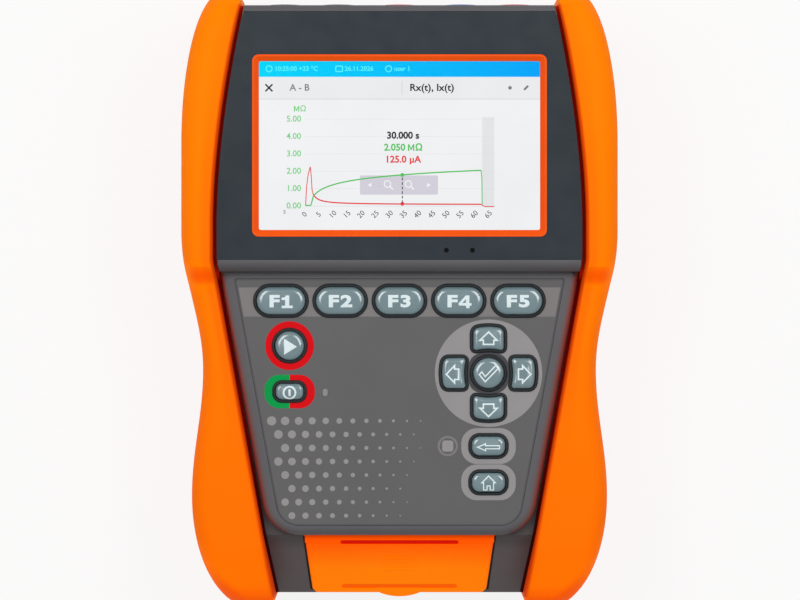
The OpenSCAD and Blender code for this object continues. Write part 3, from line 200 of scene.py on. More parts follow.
def softened(points):
    """Corner cutting, which turns a polygon into a smoother line."""
    out = []
    for i, (x, y) in enumerate(points):
        nx, ny = points[(i + 1) % len(points)]
        out.append((0.75 * x + 0.25 * nx, 0.75 * y + 0.25 * ny))
        out.append((0.25 * x + 0.75 * nx, 0.25 * y + 0.75 * ny))
    return out


def box(w, l, r, steps=8):
    points = [(w / 2, l / 2), (-w / 2, l / 2), (-w / 2, -l / 2), (w / 2, -l / 2)]
    return rounded(points, [r] * 4, steps)


def disc(r, steps=48):
    return [(r * math.cos(2 * math.pi * i / steps), r * math.sin(2 * math.pi * i / steps))
            for i in range(steps)]


def moved(points, x, y):
    return [(px + x, py + y) for px, py in points]


def turned(points, degrees):
    c, s = math.cos(math.radians(degrees)), math.sin(math.radians(degrees))
    return [(c * x - s * y, s * x + c * y) for x, y in points]


def inset(points, d):
    """A closed polygon, counter-clockwise, with each side moved in by d."""
    out = []
    for i, point in enumerate(points):
        p = Vector(point)
        a = (p - Vector(points[i - 1])).normalized()
        b = (Vector(points[(i + 1) % len(points)]) - p).normalized()
        na, nb = Vector((-a.y, a.x)), Vector((-b.y, b.x))
        n = (na + nb).normalized()
        q = p + n * (d / max(0.3, n.dot(na)))
        out.append((q.x, q.y))
    return out


def outlined(points, stroke):
    """Two loops on both sides of a closed line."""
    return [inset(points, -stroke / 2), inset(points, stroke / 2)]


def band(points, width):
    """Outline of an open line of the given width."""
    line = [Vector(p) for p in points]
    left, right = [], []
    for i, p in enumerate(line):
        along = (line[min(i + 1, len(line) - 1)] - line[max(i - 1, 0)]).normalized()
        across = Vector((-along.y, along.x)) * width / 2
        left.append(tuple(p + across))
        right.append(tuple(p - across))
    return right + left[::-1]


# Meshes, in millimetres until they are made into a piece

def placed(name, data):
    """A new object in the scene."""
    obj = bpy.data.objects.new(name, data)
    scene.collection.objects.link(obj)
    return obj


def bridge(bm, rows):
    """Faces between each ring of points and the next."""
    for lower, upper in zip(rows, rows[1:]):
        for i in range(len(lower)):
            k = (i + 1) % len(lower)
            bm.faces.new((lower[i], lower[k], upper[k], upper[i]))


def loft(rings):
    bm = bmesh.new()
    rows = [[bm.verts.new(p) for p in ring] for ring in rings]
    bridge(bm, rows)
    bm.faces.new(rows[0][::-1])
    bm.faces.new(rows[-1])
    bmesh.ops.recalc_face_normals(bm, faces=bm.faces)
    return bm


def plate(bm, loops, z0, z1):
    """A flat plate between two heights, with every loop after the first as a hole."""
    flat = [[Vector((x, y, 0)) for x, y in loop] for loop in loops]
    points = [p for loop in flat for p in loop]
    low = [bm.verts.new((p.x, p.y, z0)) for p in points]
    top = [bm.verts.new((p.x, p.y, z1)) for p in points]
    faces = []
    for a, b, c in tessellate_polygon(flat):
        faces.append(bm.faces.new((top[a], top[b], top[c])))
        faces.append(bm.faces.new((low[c], low[b], low[a])))
    first = 0
    for loop in flat:
        for i in range(len(loop)):
            a, b = first + i, first + (i + 1) % len(loop)
            faces.append(bm.faces.new((low[a], low[b], top[b], top[a])))
        first += len(loop)
    bmesh.ops.recalc_face_normals(bm, faces=faces)
    return bm


def glyphs(bm, body, size, x, y, z0, z1, align="CENTER", bold=0.0, wide=1.0, turn=0.0):
    """Flat lettering of the built-in font, added to a mesh."""
    curve = bpy.data.curves.new("glyphs", "FONT")
    curve.body = body
    curve.size = size
    curve.align_x = align
    curve.align_y = "CENTER"
    curve.offset = bold
    curve.resolution_u = 3
    curve.extrude = (z1 - z0) / 2
    holder = placed("glyphs", curve)
    mesh = bpy.data.meshes.new_from_object(holder.evaluated_get(bpy.context.evaluated_depsgraph_get()))
    mesh.transform(Matrix.Translation((x, y, (z0 + z1) / 2)) @ Matrix.Rotation(math.radians(turn), 4, "Z")
                   @ Matrix.Diagonal((wide, 1, 1, 1)))
    part = bmesh.new()
    part.from_mesh(mesh)
    bmesh.ops.remove_doubles(part, verts=part.verts, dist=1e-4)
    flat = [e for e in part.edges if all(len(f.verts) == 3 for f in e.link_faces)]
    bmesh.ops.beautify_fill(part, faces=part.faces, edges=flat)
    part.to_mesh(mesh)
    part.free()
    bm.from_mesh(mesh)
    bpy.data.meshes.remove(mesh)
    bpy.data.objects.remove(holder)
    bpy.data.curves.remove(curve)
    return bm


def finished(name, bm, material, angle):
    """Makes a mesh in metres into an object, smooth but for edges sharper than the angle."""
    mesh = bpy.data.meshes.new(name)
    bm.to_mesh(mesh)
    bm.free()
    for layer in ("custom_normal", "sharp_face"):
        if layer in mesh.attributes:
            mesh.attributes.remove(mesh.attributes[layer])
    mesh.shade_smooth()
    mesh.set_sharp_from_angle(angle=math.radians(angle))
    mesh.materials.append(material)
    return placed(name, mesh)


def bevelled(obj, width, segments, angle):
    """Breaks the edges of a piece."""
    mod = obj.modifiers.new("edges", "BEVEL")
    mod.width = width * MM
    mod.segments = segments
    mod.limit_method = "ANGLE"
    mod.angle_limit = math.radians(angle)
    mod.harden_normals = True
    return obj


def piece(name, bm, material, body="housing", angle=35, stands_for=()):
    """Makes a mesh in millimetres into a piece that rides on a body."""
    bmesh.ops.scale(bm, vec=(MM, MM, MM), verts=bm.verts)
    obj = finished(name, bm, material, angle)
    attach(obj, body)
    if stands_for:
        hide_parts(*stands_for)
    return obj


def dress(node, material, angle=30, shape=None):
    """A welded copy of a solid, smooth where it is round; shape moves its points a little."""
    source = nodes[node]
    bm = bmesh.new()
    bm.from_mesh(source.data)
    bmesh.ops.remove_doubles(bm, verts=bm.verts, dist=WELD)
    slivers = [f for f in bm.faces if f.calc_area() < SLIVER and any(e.is_boundary for e in f.edges)]
    bmesh.ops.delete(bm, geom=slivers, context="FACES")
    if shape:
        for v in bm.verts:
            shape(v.co)
    bmesh.ops.dissolve_limit(bm, angle_limit=math.radians(0.4), verts=bm.verts, edges=bm.edges)
    obj = finished(node + "_skin", bm, material, angle)
    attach(obj, source["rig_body"])
    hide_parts(node)
    return obj


# Materials

BLACK = [0, 0, 0, 1]
# Where a tint starts and is full: lean of a face towards the flap end, or sidewards() in metres. The slope
# and inner tints are painted shade, the slope glow is painted light, the edge tint is a painted reflection
# of the bumpers.
SLOPE_SHADE_TINT = (-0.72, -0.5)
SLOPE_PAINTED_GLOW = (-0.4, -0.1)
INNER_SHADE_TINT = (-0.04, -0.003)
BUMPER_BOUNCE_TINT = (0.008, 0.05)


def linear(rgb):
    """A colour as it shows on screen, as linear light."""
    return [c / 255 / 12.92 if c <= 10.3 else ((c / 255 + 0.055) / 1.055) ** 2.4 for c in rgb] + [1]


def fill(tree, node, inputs):
    """Sets inputs of a node, each to a value or to the output of another node."""
    for socket, value in inputs.items():
        if isinstance(value, bpy.types.NodeSocket):
            tree.links.new(value, node.inputs[socket])
        else:
            node.inputs[socket].default_value = value
    return node


def made(tree, kind, inputs, **settings):
    node = tree.nodes.new("ShaderNode" + kind)
    for key, value in settings.items():
        setattr(node, key, value)
    return fill(tree, node, inputs)


def noise(tree, coord, size_mm, detail=2.0):
    inputs = {"Vector": coord.outputs["Object"], "Scale": 1000 / size_mm, "Detail": detail}
    return made(tree, "TexNoise", inputs).outputs["Fac"]


def ranged(tree, value, low, high, start=0.3, end=0.7):
    """Stretches a value from between start and end to between low and high."""
    inputs = {"Value": value, "From Min": start, "From Max": end, "To Min": low, "To Max": high}
    return made(tree, "MapRange", inputs).outputs["Result"]


def blend(tree, factor, one, two):
    """Mixes two colours."""
    return made(tree, "Mix", {0: factor, 6: one, 7: two}, data_type="RGBA").outputs[2]


def times(tree, one, two):
    return made(tree, "Math", {0: one, 1: two}, operation="MULTIPLY").outputs[0]


def part_of(tree, coord, axis, kind="Object"):
    return made(tree, "SeparateXYZ", {0: coord.outputs[kind]}).outputs[axis]


def span(tree, coord, axis, start, end, low=0, high=1):
    """A value that goes from low to high between two places along an axis, in millimetres."""
    return ranged(tree, part_of(tree, coord, axis), low, high, start * MM, end * MM)


def sidewards(tree, coord):
    """Distance from the middle times the share of a face that looks away from it."""
    return times(tree, part_of(tree, coord, "X"), part_of(tree, coord, "X", "Normal"))


def begin(name):
    mat = bpy.data.materials.new(name)
    mat.use_nodes = True
    tree = mat.node_tree
    return mat, tree, tree.nodes["Principled BSDF"], tree.nodes.new("ShaderNodeTexCoord")


def clouded(tree, coord, rgb, tint, cloud):
    """A colour with soft lighter and darker clouds."""
    base = linear(rgb)
    darker = [c * (1 - tint) for c in base[:3]] + [1]
    lighter = [min(1, c * (1 + tint)) for c in base[:3]] + [1]
    return blend(tree, ranged(tree, noise(tree, coord, cloud), 0, 1), darker, lighter)


def grained(tree, shader, coord, rough, grain, depth):
    """Fine grain in the surface, and soft clouds in its gloss."""
    gloss = ranged(tree, noise(tree, coord, 15 * grain), max(0.03, rough - 0.04), min(1, rough + 0.04))
    fine = noise(tree, coord, grain, 3)
    bump = made(tree, "Bump", {"Strength": 0.5, "Distance": depth * MM, "Height": fine})
    fill(tree, shader, {"Roughness": gloss, "Normal": bump.outputs["Normal"]})


def moulded(name, rgb, rough, grain, depth, tint, cloud, level, metal=0.0, low=None, edge=None):
    """Moulded plastic, ink or metal.

    low holds painted shade: its colours just under the keypad and further down; edge is a painted
    reflection, the reddish colour of the orange bumpers on faces next to them.
    """
    mat, tree, shader, coord = begin(name)
    colour = clouded(tree, coord, rgb, tint, cloud)
    if low:
        # Painted shade: a darker colour just under the keypad, where its block shades the wing and the top
        # of the chin, and a slightly darker one further down the chin
        under, lower = [clouded(tree, coord, shade, tint, cloud) for shade in low]
        under = blend(tree, span(tree, coord, "Z", WING_LOW_H - 6.5, WING_LOW_H - 3), lower, under)
        colour = blend(tree, span(tree, coord, "Z", WING_LOW_H + 1, KEYPAD_H), under, colour)
    if edge:
        # Painted reflection: reddish light from the orange bumpers on the casing faces next to them, below
        # the top of the keypad
        beside = clouded(tree, coord, edge, tint, cloud)
        beside = blend(tree, span(tree, coord, "Z", KEYPAD_H + 0.2, KEYPAD_H + 0.8, 1, 0), colour, beside)
        colour = blend(tree, ranged(tree, sidewards(tree, coord), 0, 0.9, *BUMPER_BOUNCE_TINT), colour, beside)
    fill(tree, shader, {"Base Color": colour, "Specular IOR Level": level, "Metallic": metal})
    grained(tree, shader, coord, rough, grain, depth)
    return mat


def rubbery(name, upper, lower, top_y, low_y, glow, inner=None, slope=None):
    """Soft orange moulding that glows by the share glow though it is no lamp, a painted light, and whose
    colour shifts along its length and on some faces.

    inner is a painted shade colour on faces along the casing, which lose their glow; slope is a redder
    painted shade colour on faces that look to the flap end, which glow more, a painted light.
    """
    mat, tree, shader, coord = begin(name)

    def tone(rgb):
        return clouded(tree, coord, rgb, 0.02, 30)

    colour = blend(tree, span(tree, coord, "Y", low_y, top_y), tone(lower), tone(upper))
    painted_glow = colour
    # Painted shade and light: faces that look to the flap end turn redder and glow more
    if slope:
        lean = part_of(tree, coord, "Y", "Normal")
        colour = blend(tree, ranged(tree, lean, 1, 0, *SLOPE_SHADE_TINT), colour, tone(slope))
        painted_glow = blend(tree, ranged(tree, lean, 1, 0.5, *SLOPE_PAINTED_GLOW), BLACK, colour)
    # Painted shade: faces along the casing, in the seams, take the inner colour and lose their glow
    if inner:
        share = ranged(tree, sidewards(tree, coord), 1, 0, *INNER_SHADE_TINT)
        for end, past in ((TOP_Y, TOP_Y + 1), (LOW_Y, LOW_Y - 1)):
            share = times(tree, share, span(tree, coord, "Y", end, past, 1, 0))
        painted_glow = blend(tree, share, painted_glow, BLACK)
        colour = blend(tree, share, colour, tone(inner))
    # The emission is painted light: the moulding glows though it is no lamp
    fill(tree, shader, {"Base Color": colour, "Emission Color": painted_glow, "Emission Strength": glow,
                        "Specular IOR Level": 0.03})
    grained(tree, shader, coord, 0.55, 0.5, 0.03)
    return mat


def seam_shaded(name, head, keypad, chin):
    """Rubber of the seam lips, with painted shade that gets darker from the head down to the chin."""
    mat, tree, shader, coord = begin(name)
    head, keypad, chin = [clouded(tree, coord, rgb, 0.04, 20) for rgb in (head, keypad, chin)]
    colour = blend(tree, span(tree, coord, "Y", KEYPAD_LOW_Y + 5, KEYPAD_LOW_Y + 50), chin, keypad)
    colour = blend(tree, span(tree, coord, "Z", WING_LOW_H + 1, KEYPAD_H), colour, head)
    fill(tree, shader, {"Base Color": colour, "Specular IOR Level": 0.02})
    grained(tree, shader, coord, 0.6, 0.5, 0.03)
    return mat


def lit(name, rgb, right=None):
    """A lit part of the screen, slightly uneven as a backlight is; right is its colour at that end."""
    mat, tree, shader, coord = begin(name)
    colour = clouded(tree, coord, rgb, 0.02, 30)
    if right:
        share = span(tree, coord, "X", -SCREEN_W / 2, SCREEN_W / 2)
        colour = blend(tree, share, colour, clouded(tree, coord, right, 0.02, 30))
    fill(tree, shader, {"Base Color": BLACK, "Roughness": 0.6, "Specular IOR Level": 0,
                        "Emission Color": colour, "Emission Strength": 1})
    return mat


def clear(name, rgb, ior):
    mat, tree, shader, coord = begin(name)
    fill(tree, shader, {"Base Color": linear(rgb), "Transmission Weight": 1, "IOR": ior,
                        "Roughness": ranged(tree, noise(tree, coord, 14), 0, 0.02)})
    return mat


# Finishes: colour, roughness, grain and its depth, share and size of the clouds, gloss, metal; sizes in mm
FINISHES = {
    "rear_grey": ((70, 69, 71), 0.55, 0.5, 0.05, 0.05, 25, 0.35),
    "bezel_dark": ((42, 50, 57), 0.3, 0.6, 0.003, 0.05, 40, 0.3),
    "sensor_black": ((4, 4, 5), 0.2, 0.6, 0.002, 0.1, 4, 0.2),
    "frame_red": ((251, 89, 12), 0.4, 0.4, 0.015, 0.04, 20, 0.12),
    "overlay_grey": ((97, 96, 97), 0.5, 0.3, 0.02, 0.03, 22, 0.3),
    "key_grey": ((112, 136, 142), 0.2, 0.6, 0.002, 0.04, 8, 1.0),
    "rubber_black": ((12, 13, 15), 0.6, 0.4, 0.03, 0.1, 10, 0.15),
    "rim_grey": ((42, 46, 49), 0.5, 0.4, 0.01, 0.05, 10, 0.3),
    "plastic_black": ((30, 30, 31), 0.4, 0.4, 0.02, 0.08, 15, 0.4),
    "ink_white": ((226, 240, 243), 0.35, 0.4, 0.004, 0.02, 4, 0.3),
    "ink_pale": ((150, 147, 148), 0.5, 0.3, 0.015, 0.03, 14, 0.25),
    "ink_strip": ((128, 124, 124), 0.5, 0.3, 0.015, 0.03, 14, 0.25),
    "ink_red": ((222, 12, 22), 0.5, 0.3, 0.01, 0.03, 8, 0.06),
    "ink_green": ((8, 158, 76), 0.5, 0.3, 0.01, 0.03, 8, 0.06),
    # painted shadow line along the edge of the overlay
    "edge_shadow_dark": ((86, 86, 88), 0.5, 0.3, 0.01, 0.03, 8, 0.25),
    "ink_web": ((68, 68, 71), 0.5, 0.3, 0.01, 0.03, 8, 0.25),
    "collar_black": ((60, 60, 62), 0.35, 0.4, 0.015, 0.06, 12, 0.4),
    "collar_red": ((205, 28, 34), 0.35, 0.4, 0.015, 0.06, 12, 0.4),
    "collar_blue": ((24, 92, 190), 0.35, 0.4, 0.015, 0.06, 12, 0.4),
    "steel": ((190, 190, 192), 0.3, 0.2, 0.01, 0.06, 5, 0.5, 1.0),
    "brass": ((214, 176, 96), 0.28, 0.2, 0.01, 0.06, 5, 0.5, 1.0),
    "board": ((26, 92, 52), 0.4, 0.6, 0.02, 0.1, 9, 0.5),
    "cell": ((40, 84, 160), 0.35, 0.6, 0.01, 0.06, 12, 0.5),
    "copper": ((170, 88, 40), 0.35, 0.3, 0.05, 0.1, 6, 0.5),
    "lens": ((140, 141, 139), 0.3, 0.5, 0.005, 0.05, 3, 0.4)}
looks = {name: moulded(name, *values) for name, values in FINISHES.items()}
# Casing grey, with painted shade under the keypad and down the chin, and a painted reddish reflection of
# the bumpers at its sides
looks["casing_grey"] = moulded("casing_grey", (91, 90, 93), 0.5, 0.45, 0.04, 0.04, 25, 0.35,
                               low=[(74, 73, 74), (89, 86, 88)], edge=(152, 70, 58))
key_tree = looks["key_grey"].node_tree
fill(key_tree, key_tree.nodes["Principled BSDF"], {"Coat Weight": 1, "Coat Roughness": 0.12})
# Orange mouldings, each with a glow that is painted light: the bumpers darker towards the flap end, the
# flap with painted shade at its top under the keypad block, and the reds for the painted shade in the
# flap's grooves
for name, *values in (
        ("bumper_orange", (255, 126, 0), (255, 110, 0), 90, -105, 0.3, (238, 76, 4), (255, 91, 0)),
        ("flap_orange", (255, 76, 0), (255, 125, 0), KEYPAD_LOW_Y, KEYPAD_LOW_Y - 14, 0.36),
        ("hinge_red", (214, 20, 0), (214, 20, 0), KEYPAD_LOW_Y, LOW_Y, 0.3),
        ("groove_red", (255, 96, 2), (255, 96, 2), KEYPAD_LOW_Y, LOW_Y, 0.3)):
    looks[name] = rubbery(name, *values)
# Painted shade of the seams between the bumpers and the casing, darker from the head down to the chin
looks["seam_shade_red"] = seam_shaded("seam_shade_red", (246, 46, 10), (160, 14, 2), (64, 9, 4))
looks["touch_glass"] = clear("touch_glass", (252, 253, 253), 1.2)


# Bumpers

def ease(t):
    return (1 - math.cos(math.pi * t)) / 2


def quarter(t):
    return 1 - math.sqrt(max(0, 1 - t * t))


def face_half(y):
    """Half of the opening between the bumpers."""
    if y >= FACE_Y:
        return FACE_HALF - (FACE_HALF - FACE_TOP_HALF) * ((y - FACE_Y) / (TOP_Y - FACE_Y)) ** 1.75
    if y >= TAPER_Y:
        return FACE_HALF
    return FACE_HALF - (FACE_HALF - FACE_LOW_HALF) * (TAPER_Y - y) / (TAPER_Y - LOW_Y)


WAIST_HALF = face_half(WAIST_Y) + 11.9
HIP_HALF = face_half(HIP_Y) + 24.9


def outer_half(y):
    """Outer half width of the bumpers."""
    if y >= SHOULDER_Y:
        return SHOULDER_HALF - (TOP_TIP_IN - TIP_T / 2) * quarter((y - SHOULDER_Y) / (TIP_Y - SHOULDER_Y))
    if y >= SHOULDER_LOW_Y:
        return SHOULDER_HALF
    if y >= WAIST_Y:
        return WAIST_HALF + (SHOULDER_HALF - WAIST_HALF) * ease((y - WAIST_Y) / (SHOULDER_LOW_Y - WAIST_Y))
    if y >= HIP_Y:
        return HIP_HALF - (HIP_HALF - WAIST_HALF) * ease((y - HIP_Y) / (WAIST_Y - HIP_Y))
    return HIP_HALF - (LOW_TIP_IN - TIP_T / 2) * quarter((HIP_Y - y) / (HIP_Y + TIP_Y))


def inner_half(y):
    """Inner half width of the bumpers, rounded towards the tips."""
    if y > TOP_Y:
        tip = SHOULDER_HALF - TOP_TIP_IN - TIP_T / 2
        return FACE_TOP_HALF + (tip - FACE_TOP_HALF) * quarter((y - TOP_Y) / HORN_TOP)
    if y < LOW_Y:
        tip = HIP_HALF - LOW_TIP_IN - TIP_T / 2
        return FACE_LOW_HALF + (tip - FACE_LOW_HALF) * quarter((LOW_Y - y) / HORN_LOW)
    return face_half(y)


def crown_h(y):
    """Height of the bumper crown."""
    high, low = SCREEN_H + BUMPER_RISE, KEYPAD_H + BUMPER_RISE
    if y > TOP_FALL_Y:
        return high - TOP_FALL * quarter((y - TOP_FALL_Y) / (TIP_Y - TOP_FALL_Y))
    if y >= RAMP_TOP_Y:
        return high
    if y >= RAMP_LOW_Y:
        return low + (high - low) * ease((y - RAMP_LOW_Y) / (RAMP_TOP_Y - RAMP_LOW_Y))
    if y >= LOW_FALL_Y:
        return low
    return low - LOW_FALL * quarter((LOW_FALL_Y - y) / (LOW_FALL_Y + TIP_Y))


def keel_h(y):
    """Height of the underside of a bumper."""
    if y > TOP_Y:
        return KEEL_RISE * quarter((y - TOP_Y) / HORN_TOP)
    if y < LOW_Y:
        return KEEL_RISE * quarter((LOW_Y - y) / HORN_LOW)
    return 0


def wing_h(y):
    """Height of the casing under the bumper roll, up to the step."""
    return WING_LOW_H - max(0, KEYPAD_LOW_Y - y) * math.tan(CHIN_ANGLE)


def bumper_ring(y, wing=None):
    """Section of the right bumper; where it holds the casing, it has a pocket up to the wing."""
    xo, xi = outer_half(y), inner_half(y)
    w = xo - xi
    zf, zb = crown_h(y), keel_h(y)
    keel_r = min(KEEL_R, 0.45 * w)
    crown_r = min(CROWN_RX, 0.5 * w)
    edge_r = min(CROWN_EDGE_R, 0.2 * w)
    edge_z = zf - CROWN_EDGE_DROP - edge_r
    xc = xo - BUMPER_WALL
    if wing is None:
        inner = [(xi, zb + (zf - zb) / 2 * k / 4) for k in range(5)]
    else:
        lip_x = xc - BACK_LIP_W
        inner = [(lip_x, zb), (lip_x, BACK_LIP_T), (xc, BACK_LIP_T), (xc, wing), (xi, wing)]
    quarters = [math.pi / 2 * k / 6 for k in range(7)]
    edge = [(xi + edge_r * (1 - math.cos(a)), edge_z + edge_r * math.sin(a)) for a in quarters]
    flat = [(xi + edge_r + (w - crown_r - edge_r) * k / 5,
             zf - CROWN_EDGE_DROP * (1 - math.sin(math.pi / 2 * k / 5))) for k in range(1, 5)]
    crown = [(xo - crown_r * (1 - math.sin(a)), zf - CROWN_RZ * (1 - math.cos(a)))
             for a in [math.pi / 2 * k / 14 for k in range(15)]]
    side = [(xo, zf - CROWN_RZ + (zb + keel_r - zf + CROWN_RZ) * k / 6) for k in range(1, 6)]
    keel = [(xo - keel_r * (1 - math.cos(a)), zb + keel_r * (1 - math.sin(a))) for a in quarters]
    return [(x, y, z) for x, z in inner + edge + flat + crown + side + keel]


def crowd(a, b, n):
    """Places from a to b that crowd towards b."""
    return [a + (b - a) * math.sin(math.pi / 2 * i / n) for i in range(1, n + 1)]


def bumper_rings():
    hair = 0.03
    rings = [bumper_ring(y) for y in crowd(LOW_Y, -TIP_Y, 14)[::-1]]
    rings.append(bumper_ring(LOW_Y - hair))
    ys = [LOW_Y + (KEYPAD_LOW_Y - LOW_Y) * k / 14 for k in range(14)]
    ys += [KEYPAD_LOW_Y + (STEP_Y - hair - KEYPAD_LOW_Y) * k / 70 for k in range(71)]
    rings += [bumper_ring(y, wing_h(y)) for y in ys]
    ys = [STEP_Y + (TOP_Y - STEP_Y) * k / 66 for k in range(67)]
    rings += [bumper_ring(y, WING_HIGH_H) for y in ys]
    rings.append(bumper_ring(TOP_Y + hair))
    rings += [bumper_ring(y) for y in crowd(TOP_Y, TIP_Y, 14)]
    return rings


def seam_rings(low_y, top_y, floor_h):
    """Lip of a bumper along the floor of the seam between it and the casing, which climbs to the step and
    carries the painted shade of the seam.
    """
    rings = []
    for k in range(91):
        y = low_y + (top_y - low_y) * k / 90
        x = inner_half(y)
        low = floor_h(y)
        top = low + SEAM_T + max(0, 1 - max(0, STEP_Y - y) / SEAM_CLIMB) * (WING_HIGH_H - low)
        rings.append([(x - SEAM_W, y, low), (x + 1, y, low), (x + 1, y, top), (x - SEAM_W, y, top)])
    return rings


def mirrored(rings, sign):
    return [[(sign * x, y, z) for x, y, z in ring] for ring in rings]


for side, sign in (("right", 1), ("left", -1)):
    grip = loft(mirrored(bumper_rings(), sign))
    piece(side + "_bumper_grip", grip, looks["bumper_orange"],
          stands_for=[side + "_bumper"], angle=40)
    # Lips along the seam floors, coloured with the painted shade of the seams
    for part, *line in (("low", LOW_Y, STEP_Y, wing_h), ("top", STEP_Y, TOP_Y, lambda y: WING_HIGH_H)):
        lip = loft(mirrored(seam_rings(*line), sign))
        piece("%s_bumper_lip_%s" % (side, part), lip, looks["seam_shade_red"])

# Casing and fittings: some as welded copies of the solids, the rest as the solids with new materials

FOOT_Y = HEAD_LOW_Y + 1.5
BROW_Y = HEAD_LOW_Y + 5.5
BROW_T = 3.1
FOOT_ANGLE = math.radians(30)


def browed(co):
    """Turns the round front of the head into a flatter brow over an upright foot."""
    u = (co.y / MM - HEAD_LOW_Y) / (BROW_Y - HEAD_LOW_Y)
    v = (co.z / MM - KEYPAD_H) / (SCREEN_H - KEYPAD_H)
    if not (-0.01 < u < 1 and -0.01 < v < 1.01 and abs(math.hypot(1 - u, v) - 1) < 0.04):
        return
    angle = math.atan2(max(0, v), 1 - u)
    if angle < FOOT_ANGLE:
        co.y = FOOT_Y * MM
        co.z = (KEYPAD_H + (SCREEN_H - BROW_T - KEYPAD_H) * angle / FOOT_ANGLE) * MM
    else:
        share = (math.pi / 2 - angle) / (math.pi / 2 - FOOT_ANGLE)
        co.y = (BROW_Y - (BROW_Y - FOOT_Y) * share) * MM
        co.z = (SCREEN_H - BROW_T * share ** 2.3) * MM


dress("front_casing", looks["casing_grey"], shape=browed)
for node, look in (
        ("rear_casing", "rear_grey"), ("display_frame", "frame_red"), ("keypad_overlay", "overlay_grey"),
        ("keypad_mat", "rubber_black"), ("usb_flap", "flap_orange"), ("socket_panel", "plastic_black"),
        ("socket_1", "collar_black"), ("socket_2", "collar_black"), ("socket_3", "collar_red"),
        ("socket_4", "collar_blue"), ("socket_5", "collar_red")):
    dress(node, looks[look])
for look, kept in (
        ("brass", ("socket_contacts", "contact_pads")),
        ("steel", ("socket_nuts", "usb_socket", "cover_screws", "case_screws", "board_screws",
                   "display_bracket")),
        ("plastic_black", ("charger_socket", "display_module", "board_chips", "hv_transformer", "hv_relays",
                           "buzzer")),
        ("board", ("keypad_board", "port_board", "main_board")),
        ("rear_grey", ["battery_cover"]), ("lens", ["power_led"]), ("rubber_black", ["case_seal"]),
        ("sensor_black", ["sensor_windows"]), ("copper", ["hv_winding"]), ("cell", ["battery_pack"])):
    for node in kept:
        nodes[node].data.materials.clear()
        nodes[node].data.materials.append(looks[look])

# Bezel, with a thin lap over the edges of the head

BEZEL_LAP_T = 0.45
BEZEL_R = 2.2
SEAT_R = 0.3


def bezel_outline(side_in, low_y, r):
    bend_y = BEZEL_TOP_Y - r
    ys = [low_y + (bend_y - low_y) * k / 40 for k in range(41)] + crowd(bend_y, BEZEL_TOP_Y, 8)
    right = [(face_half(y) - CREVICE - side_in - r * quarter(max(0, y - bend_y) / r), y) for y in ys]
    return right + [(-x, y) for x, y in right[::-1]]


bezel = bmesh.new()
frame_hole = moved(box(SCREEN_W + 2 * FRAME_BAND, SCREEN_L + 2 * FRAME_BAND, 2.5), 0, DISPLAY_Y)
sensor_low, sensor_high = corners("sensor_windows")
sensor_r = (sensor_high.y - sensor_low.y) / 2
sensor_y = (sensor_high.y + sensor_low.y) / 2
holes = [frame_hole] + [moved(disc(sensor_r, 24), x, sensor_y)
                        for x in (sensor_low.x + sensor_r, sensor_high.x - sensor_r)]
LAP_H = SCREEN_H - BEZEL_LAP_T
plate(bezel, [bezel_outline(0.5, BEZEL_LOW_Y, SEAT_R)] + holes, SEAT_H, LAP_H)
plate(bezel, [bezel_outline(0.1, BEZEL_LOW_Y - BEZEL_LAP_T, BEZEL_R)] + holes, LAP_H, SCREEN_H)
piece("head_bezel", bezel, looks["bezel_dark"], stands_for=["display_bezel"], angle=30)

# Touch glass and the lit screen under it

pane_low, pane_high = corners("touch_glass")
GLASS_LIFT = 0.35
GLASS_EDGE = 0.3
pane = [[(x, y + DISPLAY_Y, z) for x, y in
         box(pane_high.x - pane_low.x - 2 * d, pane_high.y - pane_low.y - 2 * d, 2 - d)]
        for z, d in ((PLATE_H + GLASS_LIFT, GLASS_EDGE), (PLATE_H + GLASS_LIFT + GLASS_EDGE, 0),
                     (pane_high.z - GLASS_EDGE, 0), (pane_high.z, GLASS_EDGE))]
piece("screen_glass", loft(pane), looks["touch_glass"], stands_for=["touch_glass"],
      angle=30)

SCREEN_Z = [PLATE_H + z for z in (0.02, 0.06, 0.09, 0.12, 0.15)]
MIDDLE_X = 55.35
PLOT_LEFT, PLOT_RIGHT, PLOT_TOP, PLOT_LOW = 17.7, 91.4, 21.4, 55.5
STATUS_L = 5.9
HEADER_L = 14.4
HEADER_Y = 10.1
STATUS_Y = 2.8


def on_screen(points, x, y):
    """Points round a place on the screen, in millimetres to the right and down from its top left corner."""
    return moved(points, x - SCREEN_W / 2, DISPLAY_Y + SCREEN_L / 2 - y)


def mark(ink, loops, x, y, layer=1):
    plate(screen[ink], [on_screen(loop, x, y) for loop in loops], SCREEN_Z[layer], SCREEN_Z[layer + 1])


def bar(ink, x0, y0, x1, y1, layer=1):
    mark(ink, [[(0, 0), (x1 - x0, 0), (x1 - x0, y1 - y0), (0, y1 - y0)]], x0, y1, layer)


def trace(ink, points, width, layer=2):
    mark(ink, [band([(x, -y) for x, y in points], width)], 0, 0, layer)


def words(ink, text, size, x, y, layer=3, **more):
    (px, py), = on_screen([(0, 0)], x, y)
    glyphs(screen[ink], text, size, px, py, SCREEN_Z[layer], SCREEN_Z[layer + 1], **more)


# Colours of the lit parts, one or one at each end
INKS = {"paper": [(244, 244, 246)], "band": [(231, 231, 233)], "status": [(0, 216, 255), (0, 166, 255)],
        "header": [(239, 239, 241)], "rule": [(221, 222, 224)], "pale": [(90, 248, 255)],
        "grey": [(128, 128, 132)], "ink": [(40, 42, 46)], "label": [(118, 212, 128)],
        "green": [(84, 198, 94)], "red": [(230, 62, 66)], "tool": [(215, 210, 221)],
        "white": [(246, 246, 248)]}
screen = {name: bmesh.new() for name in INKS}
plate(screen["paper"], [moved(box(SCREEN_W + 0.6, SCREEN_L + 0.6, 0.4, 2), 0, DISPLAY_Y)],
      PLATE_H - 0.01, SCREEN_Z[0])

